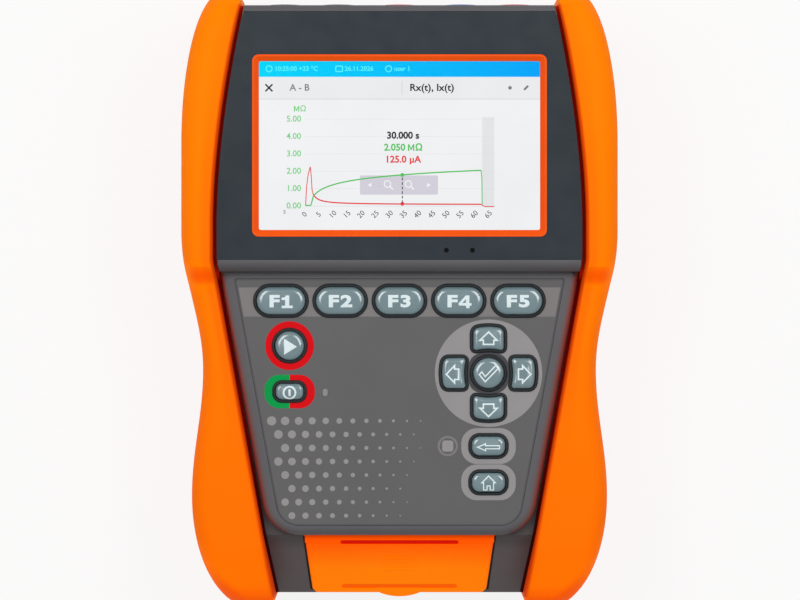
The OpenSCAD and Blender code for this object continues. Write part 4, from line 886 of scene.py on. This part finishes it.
# Status bar: clock, date and user, each as a small sign and a word
bar("status", -0.2, -0.2, SCREEN_W + 0.2, STATUS_L, 0)
for x, text, sign in ((3.85, "10:25:00 +23 °C", disc(1.15, 24)),
                      (30.8, "26.11.2026", box(2.6, 2.1, 0.3, 2)),
                      (49.8, "user 1", disc(1.15, 24))):
    mark("pale", outlined(sign, 0.4), x, STATUS_Y)
    words("pale", text, 2.5, x + 2.1, STATUS_Y, 1, align="LEFT", bold=0.05)

# Header: closing cross, two titles and two signs
bar("header", -0.2, STATUS_L, SCREEN_W + 0.2, HEADER_L, 0)
bar("rule", -0.2, HEADER_L - 0.15, SCREEN_W + 0.2, HEADER_L + 0.2)
bar("rule", MIDDLE_X - 0.55, 7.4, MIDDLE_X - 0.2, 13)
for a in (45, -45):
    mark("ink", [turned(box(3.9, 0.6, 0.1, 1), a)], 3.8, HEADER_Y)
words("grey", "A - B", 3.6, 15.6, HEADER_Y, 1, bold=0.06)
words("ink", "Rx(t), Ix(t)", 3.8, 66.5, HEADER_Y, 1, bold=0.08, wide=1.05)
mark("grey", [disc(0.7, 20)], 96.5, HEADER_Y)
mark("grey", [turned(box(2.3, 0.8, 0.2, 2), 45)], 102.7, HEADER_Y)

M_SIGN = [(0, 0), (0.19, 0), (0.19, 0.66), (0.4, 0.14), (0.55, 0.14), (0.76, 0.66), (0.76, 0), (0.95, 0),
          (0.95, 1), (0.74, 1), (0.475, 0.4), (0.21, 1), (0, 1)]
GRID_Y, GRID_PITCH = 22.1, 6.68
TIME_X, TIME_PITCH = 17.5, 5.44


def megohm(ink, size, x, y, bold, layer=3):
    """Sign of the unit of resistance, with its left edge at x."""
    cap = 0.7 * size
    mark(ink, [[(cap * u, cap * (v - 0.5)) for u, v in M_SIGN]], x, y, layer)
    words(ink, "Ω", size, x + 1.08 * cap, y, layer, align="LEFT", bold=bold)


# Plot: axes with their numbers, and a pale band at the end of the measurement
megohm("label", 3.1, 13.4, 18.2, 0.04)
for i in range(6):
    words("label", "%d.00" % (5 - i), 3.3, 16.2, GRID_Y + GRID_PITCH * i, align="RIGHT", bold=0.04)
for i in range(14):
    words("ink", "%d" % (5 * i), 2.9, TIME_X + TIME_PITCH * i, 58.8, turn=45)
words("grey", "s", 2.9, 9.8, 57.6)
bar("band", 85.8, PLOT_TOP, 90.4, PLOT_LOW, 0)
bar("rule", PLOT_LEFT, PLOT_LOW, PLOT_RIGHT, PLOT_LOW + 0.2)
for i in range(5):
    y = GRID_Y + GRID_PITCH * i
    bar("rule", PLOT_LEFT, y, PLOT_RIGHT, y + 0.1)

# Curves: the resistance climbs, the current falls after its first peak
RISE_X, RISE_END = 20.8, 85.4
steps = [RISE_X + (RISE_END - RISE_X) * (k / 24) ** 2 for k in range(25)]
climb = [(x, 52 - 2.86 * math.log(1 + (x - RISE_X) / 1.9)) for x in steps]
fall = [(x, 55 - 4.1 / (1 + (x - RISE_X) / 1.9)) for x in steps]
trace("green", [(17.9, 55.3), (19.9, 55.3), (20.3, 54), climb[0]] + climb[1:], 0.5)
trace("green", [(RISE_END, climb[-1][1]), (85.7, 45), (85.8, 55)], 0.36)
trace("red", [(17.9, 55.4), (18.3, 48), (18.9, 43.5), (19.7, 40.4)], 0.34)
trace("red", [(19.7, 40.4), (20.1, 44.5), (20.4, 49.5), fall[0]], 0.34)
trace("red", fall, 0.5)
trace("red", [fall[-1], (86.2, 55.5), (87, 55.8), (90.4, 55.8)], 0.36)

# Cursor with its readouts, and the tool bar over the plot
CURSOR_X = 55.1
TOOL_X, TOOL_Y = 53.8, 47.5
mark("tool", [box(30, 7.4, 0.4, 2)], TOOL_X, TOOL_Y, 1)
for i in range(6):
    y = 44.6 + 1.75 * i
    bar("ink", CURSOR_X - 0.18, y, CURSOR_X + 0.18, y + 1.1, 3)
mark("green", [disc(0.75, 20)], CURSOR_X, 43.6, 3)
mark("red", [disc(0.75, 20)], CURSOR_X, 54.7, 3)
for x, degrees in ((-11.1, 180), (11.3, 0)):
    mark("white", [turned(disc(0.95, 3), degrees)], TOOL_X + x, TOOL_Y, 3)
for x in (-4, 4):
    mark("white", outlined(disc(1.25, 24), 0.4), TOOL_X + x - 0.4, TOOL_Y - 0.4, 3)
    mark("white", [turned(box(1.7, 0.5, 0.1, 2), -45)], TOOL_X + x + 1.15, TOOL_Y + 1.1, 3)
words("ink", "30.000 s", 3.7, MIDDLE_X, 28.5, bold=0.12)
words("green", "2.050", 3.7, MIDDLE_X - 7.3, 33.1, align="LEFT", bold=0.1)
megohm("green", 3.7, MIDDLE_X + 1.9, 33.1, 0.1)
words("red", "125.0 µA", 3.7, MIDDLE_X, 37.7, bold=0.1)
for name, tones in INKS.items():
    piece("screen_" + name, screen[name], lit("screen_" + name, *tones), angle=20)

# Keys

ARROW_IN, ARROW_OUT, ARROW_HALF, ARROW_BOW = 9.4, 18.0, 5.9, 20.0


def sag(x, r):
    """Fall of an arc of radius r at x."""
    return r - math.sqrt(r * r - x * x)


def arrow(g):
    """Arrow key that points along +Y, hollow towards the middle of the pad."""
    hw, yi, yo = ARROW_HALF + g, ARROW_IN - g, ARROW_OUT + g
    inner_r, outer_r = max(1.0, 1.2 + g), max(1.6, 2.2 + g)
    inner = [(x, yi - sag(x, ARROW_BOW - g)) for x in (-hw, -hw / 2, 0, hw / 2, hw)]
    outer = [(x, yo - sag(x, ARROW_BOW + g)) for x in (hw, hw / 2, 0, -hw / 2, -hw)]
    return softened(rounded(inner + outer, [inner_r, 0, 0, 0, inner_r, outer_r, 0, 0, 0, outer_r], 6))


# Kind of each key, and turn of the arrow keys
KINDS = {"key_start": "start", "key_power": "power", "key_enter": "enter", "key_back": "menu",
         "key_home": "menu"}
KINDS.update({"key_f%d" % i: "function" for i in range(1, 6)})
TURNS = {"key_up": 0, "key_left": 90, "key_down": 180, "key_right": 270}
KINDS.update({name: "arrow" for name in TURNS})
F_HALF_W, F_HALF_L = 9.4, 5.3
# Radius of the round keys; width, length, corner and least corner of the oblong ones
ROUND = {"start": 5.6, "enter": 5.9}
OBLONG = {"power": (10.7, 6.1, 2.4, 1.1), "menu": (12.9, 7.4, 3.0, 1.25)}


def key_place(name):
    """Place that the outline of a key is drawn round."""
    return (PAD_X, PAD_Y) if name in TURNS else tuple(middle(name).xy)


def key_outline(name, g):
    """Outline of a key, grown by g."""
    kind = KINDS[name]
    if kind == "function":
        points = box(2 * (F_HALF_W + g), 2 * (F_HALF_L + g), F_HALF_L + g - 0.05, 14)
    elif kind in ROUND:
        points = disc(ROUND[kind] + g, 64)
    elif kind in OBLONG:
        w, l, r, least = OBLONG[kind]
        points = box(w + 2 * g, l + 2 * g, max(least, r + g), 12)
    else:
        points = turned(arrow(g), TURNS[name])
    return moved(points, *key_place(name))


def key_middle(name):
    x, y = key_place(name)
    if name in TURNS:
        (dx, dy), = turned([(0, (ARROW_IN + ARROW_OUT) / 2)], TURNS[name])
        return Vector((x + dx, y + dy))
    return Vector((x, y))


# Width and height of the pillow edge of each kind of key, and rise of its middle
PILLOW = {"function": (2.5, 1.45), "start": (2.5, 1.45), "enter": (2.5, 1.45), "power": (1.6, 1.2),
          "menu": (2.0, 1.3), "arrow": (2.0, 1.3)}
KEY_CROWN = 0.26
FLANGE_T = 1.3
FLANGE_LIP = 1.0
PLUNGER_L = 1.3


def key_cap(name):
    """Cap with a pillow-shaped face, over its flange and plunger."""
    centre = key_middle(name)
    edge_w, edge_h = PILLOW[KINDS[name]]

    def ring(g, z, share=1.0):
        return [(centre.x + (px - centre.x) * share, centre.y + (py - centre.y) * share, z)
                for px, py in key_outline(name, g)]

    low = FLANGE_H - FLANGE_T
    rings = [ring(0, low - PLUNGER_L, 0.35), ring(0, low, 0.35), ring(FLANGE_LIP, low),
             ring(FLANGE_LIP, FLANGE_H), ring(0, FLANGE_H)]
    for k in range(13):
        a = math.pi / 2 * k / 12
        rings.append(ring(-edge_w * (1 - math.cos(a)), KEY_TOP - edge_h * (1 - math.sin(a))))
    for share in (0.85, 0.65, 0.45, 0.25, 0.08):
        rings.append(ring(-edge_w, KEY_TOP + KEY_CROWN * (1 - share * share), share))
    return loft(rings)


def settle(bm, cap, lift):
    """Lays a flat legend on the face of a key."""
    tree = BVHTree.FromBMesh(cap)
    bmesh.ops.triangulate(bm, faces=bm.faces)
    for _ in range(5):
        long = [e for e in bm.edges if e.calc_length() > 0.6]
        if not long:
            break
        bmesh.ops.subdivide_edges(bm, edges=long, cuts=1)
        bmesh.ops.triangulate(bm, faces=bm.faces)
    for v in bm.verts:
        hit = tree.ray_cast(Vector((v.co.x, v.co.y, 2 * KEY_TOP)), Vector((0, 0, -1)))[0]
        v.co.z = hit.z + v.co.z + lift
    return bm


ARROW_SIGN = [(0, 2.3), (-3.3, -0.9), (-2.0, -0.9), (-2.0, -2.5), (2.0, -2.5), (2.0, -0.9), (3.3, -0.9)]
ARROW_SIGN_OUT = 0.3
CHECK_SIGN = [(-3.6, -0.1), (-1.3, -2.9), (3.8, 2.3), (2.7, 3.3), (-1.3, -0.9), (-2.6, 0.9)]
BACK_SIGN = [(-4.2, 0), (-1.2, -1.3), (-1.2, -0.6), (4.2, -0.6), (4.2, 0.6), (-1.2, 0.6), (-1.2, 1.3)]
HOME_SIGN = [(0, 2.9), (-2.6, 0.3), (-1.9, 0.3), (-1.9, -2.5), (-0.6, -2.5), (-0.6, -0.9), (0.6, -0.9),
             (0.6, -2.5), (1.9, -2.5), (1.9, 0.3), (2.6, 0.3)]
ONE_SIGN = [(-2.1, -2.45), (2.2, -2.45), (2.2, -1.45), (0.85, -1.45), (0.85, 2.45), (-0.45, 2.45),
            (-0.7, 1.95), (-1.1, 1.7), (-2.1, 1.6), (-2.1, 0.7), (-0.75, 0.7), (-0.75, -1.45),
            (-2.1, -1.45)]
FOUR_SIGN = [(0.45, -2.45), (1.7, -2.45), (1.75, -1.5), (2.5, -1.45), (2.5, -0.55), (1.65, -0.5),
             (1.7, 2.45), (0.25, 2.45), (-2.5, -0.6), (-2.45, -1.4), (0.35, -1.5)]
FOUR_HOLE = [(0.3, -0.4), (0.38, 1.05), (-1.05, -0.45)]
FIGURES = {"key_f1": [ONE_SIGN], "key_f4": [FOUR_SIGN, FOUR_HOLE]}
F_SIGN, F_LEFT, F_RIGHT = 6.2, 2.6, 2.4
PLAY_SIGN = [(-2.1, -3.1), (2.9, 0), (-2.1, 3.1)]
POWER_SIGN, POWER_STROKE = [disc(2.65, 40), disc(1.95, 40)], box(0.85, 2.5, 0.2, 3)
SIGN_T = 0.06
SIGN_DROP = 0.4


def legend(name):
    """Flat sign of a key, still at height 0."""
    kind = KINDS[name]
    centre = key_middle(name)
    bm = bmesh.new()

    def put(*loops):
        plate(bm, [moved(loop, centre.x, centre.y - SIGN_DROP) for loop in loops], 0, SIGN_T)

    if kind == "function":
        y = centre.y - SIGN_DROP
        glyphs(bm, "F", F_SIGN, centre.x - F_LEFT, y, 0, SIGN_T, bold=0.28, wide=1.4)
        if name in FIGURES:
            put(*[moved(loop, F_RIGHT, 0) for loop in FIGURES[name]])
        else:
            glyphs(bm, name[-1], F_SIGN, centre.x + F_RIGHT, y, 0, SIGN_T, bold=0.26, wide=1.42)
    elif kind == "start":
        put(PLAY_SIGN)
    elif kind == "power":
        put(*POWER_SIGN)
        put(POWER_STROKE)
    elif kind == "arrow":
        put(*outlined(turned(moved(ARROW_SIGN, 0, ARROW_SIGN_OUT), TURNS[name]), 0.6))
    elif kind == "enter":
        put(*outlined(CHECK_SIGN, 0.5))
    else:
        put(*outlined(BACK_SIGN if name == "key_back" else HOME_SIGN, 0.45))
    return bm


for name in KINDS:
    cap = key_cap(name)
    sign = settle(legend(name), cap, -SIGN_T / 2)
    piece(name + "_cap", cap, looks["key_grey"], name, 50, [name])
    piece(name + "_sign", sign, looks["ink_white"], name, 30)

# Raised rims of the rubber mat round the keys, each as distance from the key and height
RIM_LINE = [(KEY_BORDER + 0.03, -0.1), (KEY_BORDER + 0.03, 0.02), (1.1, 0.6), (0.8, 0.9), (0.55, 1.0),
            (0.45, 0.98), (0.3, 0.7), (0.25, -0.1)]
rims = bmesh.new()
for name in KINDS:
    rows = [[rims.verts.new((x, y, KEYPAD_H + h)) for x, y in key_outline(name, g)] for g, h in RIM_LINE]
    bridge(rims, rows + rows[:1])
bmesh.ops.recalc_face_normals(rims, faces=rims.faces)
piece("key_rims", rims, looks["rim_grey"], angle=50)

# Prints on the overlay

PRINT_LOW, PRINT_TOP = KEYPAD_H - 0.01, KEYPAD_H + 0.03
KEYPAD_TOP_HALF = face_half(HEAD_LOW_Y) - 1.4
KEYPAD_LOW_HALF = face_half(KEYPAD_LOW_Y) - 2.1


def overlay_half(y):
    """Half width of the overlay."""
    share = (y - KEYPAD_LOW_Y) / (HEAD_LOW_Y - KEYPAD_LOW_Y)
    return KEYPAD_LOW_HALF + (KEYPAD_TOP_HALF - KEYPAD_LOW_HALF) * share - RIM_W


PRINTS = {"border": "edge_shadow_dark", "web": "ink_web", "strip": "ink_strip", "pale": "ink_pale",
          "red": "ink_red", "green": "ink_green", "dots": "ink_pale"}
prints = {name: bmesh.new() for name in PRINTS}


def stamp(ink, *loops):
    plate(prints[ink], loops, PRINT_LOW, PRINT_TOP)


def surround(name):
    """Opening of the overlay round a key."""
    return key_outline(name, KEY_BORDER)


# Painted shadow line along the edge of the overlay
edge_low, edge_top = KEYPAD_LOW_Y + RIM_LOW, HEAD_LOW_Y - OVERLAY_TOP_GAP
low_half, top_half = overlay_half(edge_low), overlay_half(edge_top)
sheet = rounded([(-low_half, edge_low), (low_half, edge_low), (top_half, edge_top), (-top_half, edge_top)],
                [8.5, 8.5, 1, 1], 10)
stamp("border", inset(sheet, 0.02), inset(sheet, 0.6))

# Strip behind the function keys, in pieces between their surrounds
STRIP_UP, STRIP_DOWN, STRIP_END = 5.15, 6.1, 0.9
F_ROUND = F_HALF_L + KEY_BORDER
strip_steps = [-STRIP_DOWN + (STRIP_UP + STRIP_DOWN) * k / 16 for k in range(17)]


def surround_half(dy):
    """Half width of the opening round a function key at a height over its middle."""
    return F_HALF_W + KEY_BORDER - F_ROUND + math.sqrt(F_ROUND ** 2 - dy * dy)


lines = [[(STRIP_END - overlay_half(F_Y + dy), F_Y + dy) for dy in strip_steps]]
for i in range(1, 6):
    x = middle("key_f%d" % i).x
    lines += [[(x + side * surround_half(dy), F_Y + dy) for dy in strip_steps] for side in (-1, 1)]
lines.append([(overlay_half(F_Y + dy) - STRIP_END, F_Y + dy) for dy in strip_steps])
for left, right in zip(lines[::2], lines[1::2]):
    stamp("strip", right + left[::-1])

# Pad with a dark ring round the enter key, rings round the other keys
WEB_R, WEB_MORE = 7.95, 0.8
PAD_R, START_RING_R = 20.7, 9.4
MENU_RING_W, MENU_RING_L, MENU_RING_R = 21, 13.8, 6
POWER_RING_W, POWER_RING_L, POWER_RING_R = 19.4, 12.9, 5.8
web = []
for step in range(96):
    angle = 2 * math.pi * step / 96
    r = WEB_R + WEB_MORE * math.sin(2 * angle) ** 2
    web.append((PAD_X + r * math.cos(angle), PAD_Y + r * math.sin(angle)))
stamp("pale", moved(disc(PAD_R, 120), PAD_X, PAD_Y), web, *[surround(name) for name in TURNS])
stamp("web", web, surround("key_enter"))
for name in ("key_back", "key_home"):
    ring = box(MENU_RING_W, MENU_RING_L, MENU_RING_R, 10)
    stamp("pale", moved(ring, *key_place(name)), surround(name))
stamp("red", moved(disc(START_RING_R, 80), *key_place("key_start")), surround("key_start"))


def half_ring(points, side, way):
    """Points of a convex outline on one side of the power key, in order round it."""
    kept = [(x - SIDE_X, y - POWER_Y) for x, y in points if side * (x - SIDE_X) >= 0]
    return sorted(kept, key=lambda p: way * math.atan2(p[1], side * p[0]))


for side, ink in ((-1, "green"), (1, "red")):
    outer = half_ring(moved(box(POWER_RING_W, POWER_RING_L, POWER_RING_R, 10), SIDE_X, POWER_Y), side, 1)
    hollow = half_ring(surround("key_power"), side, -1)
    outer = [(0, -POWER_RING_L / 2)] + outer + [(0, POWER_RING_L / 2)]
    hollow = [(0, hollow[0][1])] + hollow + [(0, hollow[-1][1])]
    stamp(ink, moved(outer + hollow, SIDE_X, POWER_Y))

# Small sign beside the back key
SIGN_X = PAD_X - 15.7
stamp("strip", moved(disc(3.9, 48), SIGN_X, BACK_Y), moved(disc(3.1, 48), SIGN_X, BACK_Y))
stamp("pale", moved(box(4.3, 4.3, 1, 4), SIGN_X, BACK_Y))

# Rows of dots that shrink to the right and downwards
DOT_PITCH = 5.22
DOT_X, DOT_Y = -49.3, POWER_Y - 11.3
DOT_EDGE = 3.4
DOT_ROWS = 8
DOT_R, DOT_LEAST_R = 1.78, 0.35
DOT_FADE_X, DOT_FADE_ROW = 0.0255, 0.034
for row in range(DOT_ROWS):
    y = DOT_Y - DOT_PITCH * row
    x = DOT_X + DOT_PITCH / 2 * (row % 2)
    while x < DOT_EDGE - overlay_half(y):
        x += DOT_PITCH
    r = DOT_R
    while r > DOT_LEAST_R:
        r = DOT_R - DOT_FADE_X * (x - DOT_X) - DOT_FADE_ROW * row
        stamp("dots", moved(disc(r, 28), x, y))
        x += DOT_PITCH
for name, look in PRINTS.items():
    piece("print_" + name, prints[name], looks[look], angle=20)

# Face of the flap with its two grooves and a sign of a port, drawn flat and laid on the slope

FLAP_RISE = 1.0
FLAP_TOP_HALF, FLAP_LOW_HALF = 36.6, 34.0
FLAP_L = (KEYPAD_LOW_Y - LOW_Y) / math.cos(CHIN_ANGLE) - 1.9
FACE_T = 0.3
FACE_IN = 0.9
FACE_UP = -4.2
SIGN_UP = -15.4


def on_slope(bm):
    """Takes a mesh from the plane to the slope, with Y up the slope and Z out of it."""
    place = Matrix.Translation((0, KEYPAD_LOW_Y, WING_LOW_H)) @ Matrix.Rotation(CHIN_ANGLE, 4, "X")
    bmesh.ops.transform(bm, matrix=place, verts=bm.verts)
    return bm


def flap_half(up):
    return FLAP_TOP_HALF - (FLAP_TOP_HALF - FLAP_LOW_HALF) * -up / FLAP_L - FACE_IN


FACE_LOW = -0.4 - FLAP_L
low_half, top_half = flap_half(FACE_LOW), flap_half(FACE_UP)
face = rounded([(-low_half, FACE_LOW), (low_half, FACE_LOW), (top_half, FACE_UP), (-top_half, FACE_UP)],
               [1.6, 1.6, 0.3, 0.3], 6)
HINGE_UP, TAB_UP = -3.2, -29.1
grooves = {"hinge": moved(box(45.6, 2, 0.9, 6), 0, HINGE_UP),
           "tab": moved(box(45.2, 2.6, 1.2, 6), 0, TAB_UP)}
flap_face = plate(bmesh.new(), [face, grooves["tab"]], FLAP_RISE - 0.1, FLAP_RISE + FACE_T)
flap_orange = looks["flap_orange"]
bevelled(piece("flap_face", on_slope(flap_face), flap_orange, "port_flap", 40), 0.2, 3, 60)
# Linings of the grooves in dark reds, as painted shade: a painted shadow strip for the hinge above the top
# of the face, and the floor of the tab groove
for name, look in (("hinge", "hinge_red"), ("tab", "groove_red")):
    groove_shade = plate(bmesh.new(), [inset(grooves[name], -0.1)], FLAP_RISE - 0.05, FLAP_RISE + 0.04)
    piece("flap_groove_" + name, on_slope(groove_shade), looks[look], "port_flap", 40)

SIGN_LOW, SIGN_HIGH = FLAP_RISE + FACE_T - 0.1, FLAP_RISE + FACE_T + 0.2
flap_sign = plate(bmesh.new(), [moved(loop, 0, SIGN_UP) for loop in outlined(box(12, 6.4, 1.2, 5), 0.8)],
                  SIGN_LOW, SIGN_HIGH)
plate(flap_sign, [moved(box(7.6, 1.5, 0.5, 3), 0, SIGN_UP + 1.3)], SIGN_LOW, SIGN_HIGH)
for x in (-3, -1, 1, 3):
    plate(flap_sign, [moved(box(1, 1.5, 0.3, 2), x, SIGN_UP - 1)], SIGN_LOW, SIGN_HIGH)
piece("flap_sign", on_slope(flap_sign), flap_orange, "port_flap", 30)

# Painted shadow in the gap beside the flap, as thin dark strips along its sides on the slope
SHADOW_GAP, SHADOW_W, SHADOW_T = 0.15, 0.7, 0.08
gap_shadow = bmesh.new()
for sign in (-1, 1):
    edge = [(sign * (flap_half(up) + FACE_IN + SHADOW_GAP), up) for up in (-FLAP_L, -0.6)]
    plate(gap_shadow, [edge + [(x + sign * SHADOW_W, y) for x, y in edge[::-1]]], 0, SHADOW_T)
piece("flap_gap_shadow", on_slope(gap_shadow), looks["rubber_black"])

# Floor, light and camera

floor_mesh = bpy.data.meshes.new("floor")
FLOOR_HALF, FLOOR_Z = 3, -0.0004
floor_corners = [(x * FLOOR_HALF, y * FLOOR_HALF, FLOOR_Z)
                 for x, y in ((-1, -1), (1, -1), (1, 1), (-1, 1))]
floor_mesh.from_pydata(floor_corners, [], [(0, 1, 2, 3)])
floor = placed("floor", floor_mesh)


def pale_floor(rgb, glow_share):
    """Matt floor that glows a little towards the camera, so that it stays pale and keeps its shadow."""
    mat = bpy.data.materials.new("floor_pale")
    mat.use_nodes = True
    tree = mat.node_tree
    tree.nodes.remove(tree.nodes["Principled BSDF"])
    matt = made(tree, "BsdfDiffuse", {"Color": linear(rgb)}).outputs[0]
    glow = made(tree, "Emission", {"Color": linear(rgb)}).outputs[0]
    path = made(tree, "LightPath", {}).outputs
    seen = path["Is Camera Ray"]
    for ray in ("Is Glossy Ray", "Is Transmission Ray"):
        seen = made(tree, "Math", {0: seen, 1: path[ray]}, operation="MAXIMUM").outputs[0]
    both = made(tree, "MixShader", {0: times(tree, seen, glow_share), 1: matt, 2: glow})
    tree.links.new(both.outputs[0], tree.nodes["Material Output"].inputs["Surface"])
    return mat


FLOOR_RGB, FLOOR_GLOW = (252, 252, 252), 0.88
floor_mesh.materials.append(pale_floor(FLOOR_RGB, FLOOR_GLOW))

SKY = 0.38
world = bpy.data.worlds.new("studio")
scene.world = world
world.use_nodes = True
fill(world.node_tree, world.node_tree.nodes["Background"], {"Color": (1, 1, 1, 1), "Strength": SKY})

LAMP_X, LAMP_Y, LAMP_H, LAMP_AIM_H = 0.52, 0.35, 1.14, 0.05
LAMP_W, LAMP_L, LAMP_WATTS = 0.7, 0.55, 5.5
for side, sign in (("left", -1), ("right", 1)):
    lamp = bpy.data.lights.new("softbox_" + side, "AREA")
    lamp.shape = "RECTANGLE"
    lamp.size, lamp.size_y = LAMP_W, LAMP_L
    lamp.energy = LAMP_WATTS
    softbox = placed("softbox_" + side, lamp)
    softbox.location = (sign * LAMP_X, LAMP_Y, LAMP_H)
    softbox.rotation_mode = "QUATERNION"
    softbox.rotation_quaternion = (Vector((0, 0, LAMP_AIM_H)) - softbox.location).to_track_quat("-Z", "Y")

LENS, SENSOR_W = 200, 36
VIEW_X, VIEW_Y = 0.0002, 0.0002
VIEW_W, VIEW_H = 0.3077, 0.070
camera_data = bpy.data.cameras.new("camera")
camera_data.lens = LENS
camera_data.sensor_width = SENSOR_W
camera = placed("camera", camera_data)
camera.location = (VIEW_X, VIEW_Y, VIEW_H + VIEW_W * LENS / SENSOR_W)
scene.camera = camera

scene.view_settings.view_transform = "Standard"
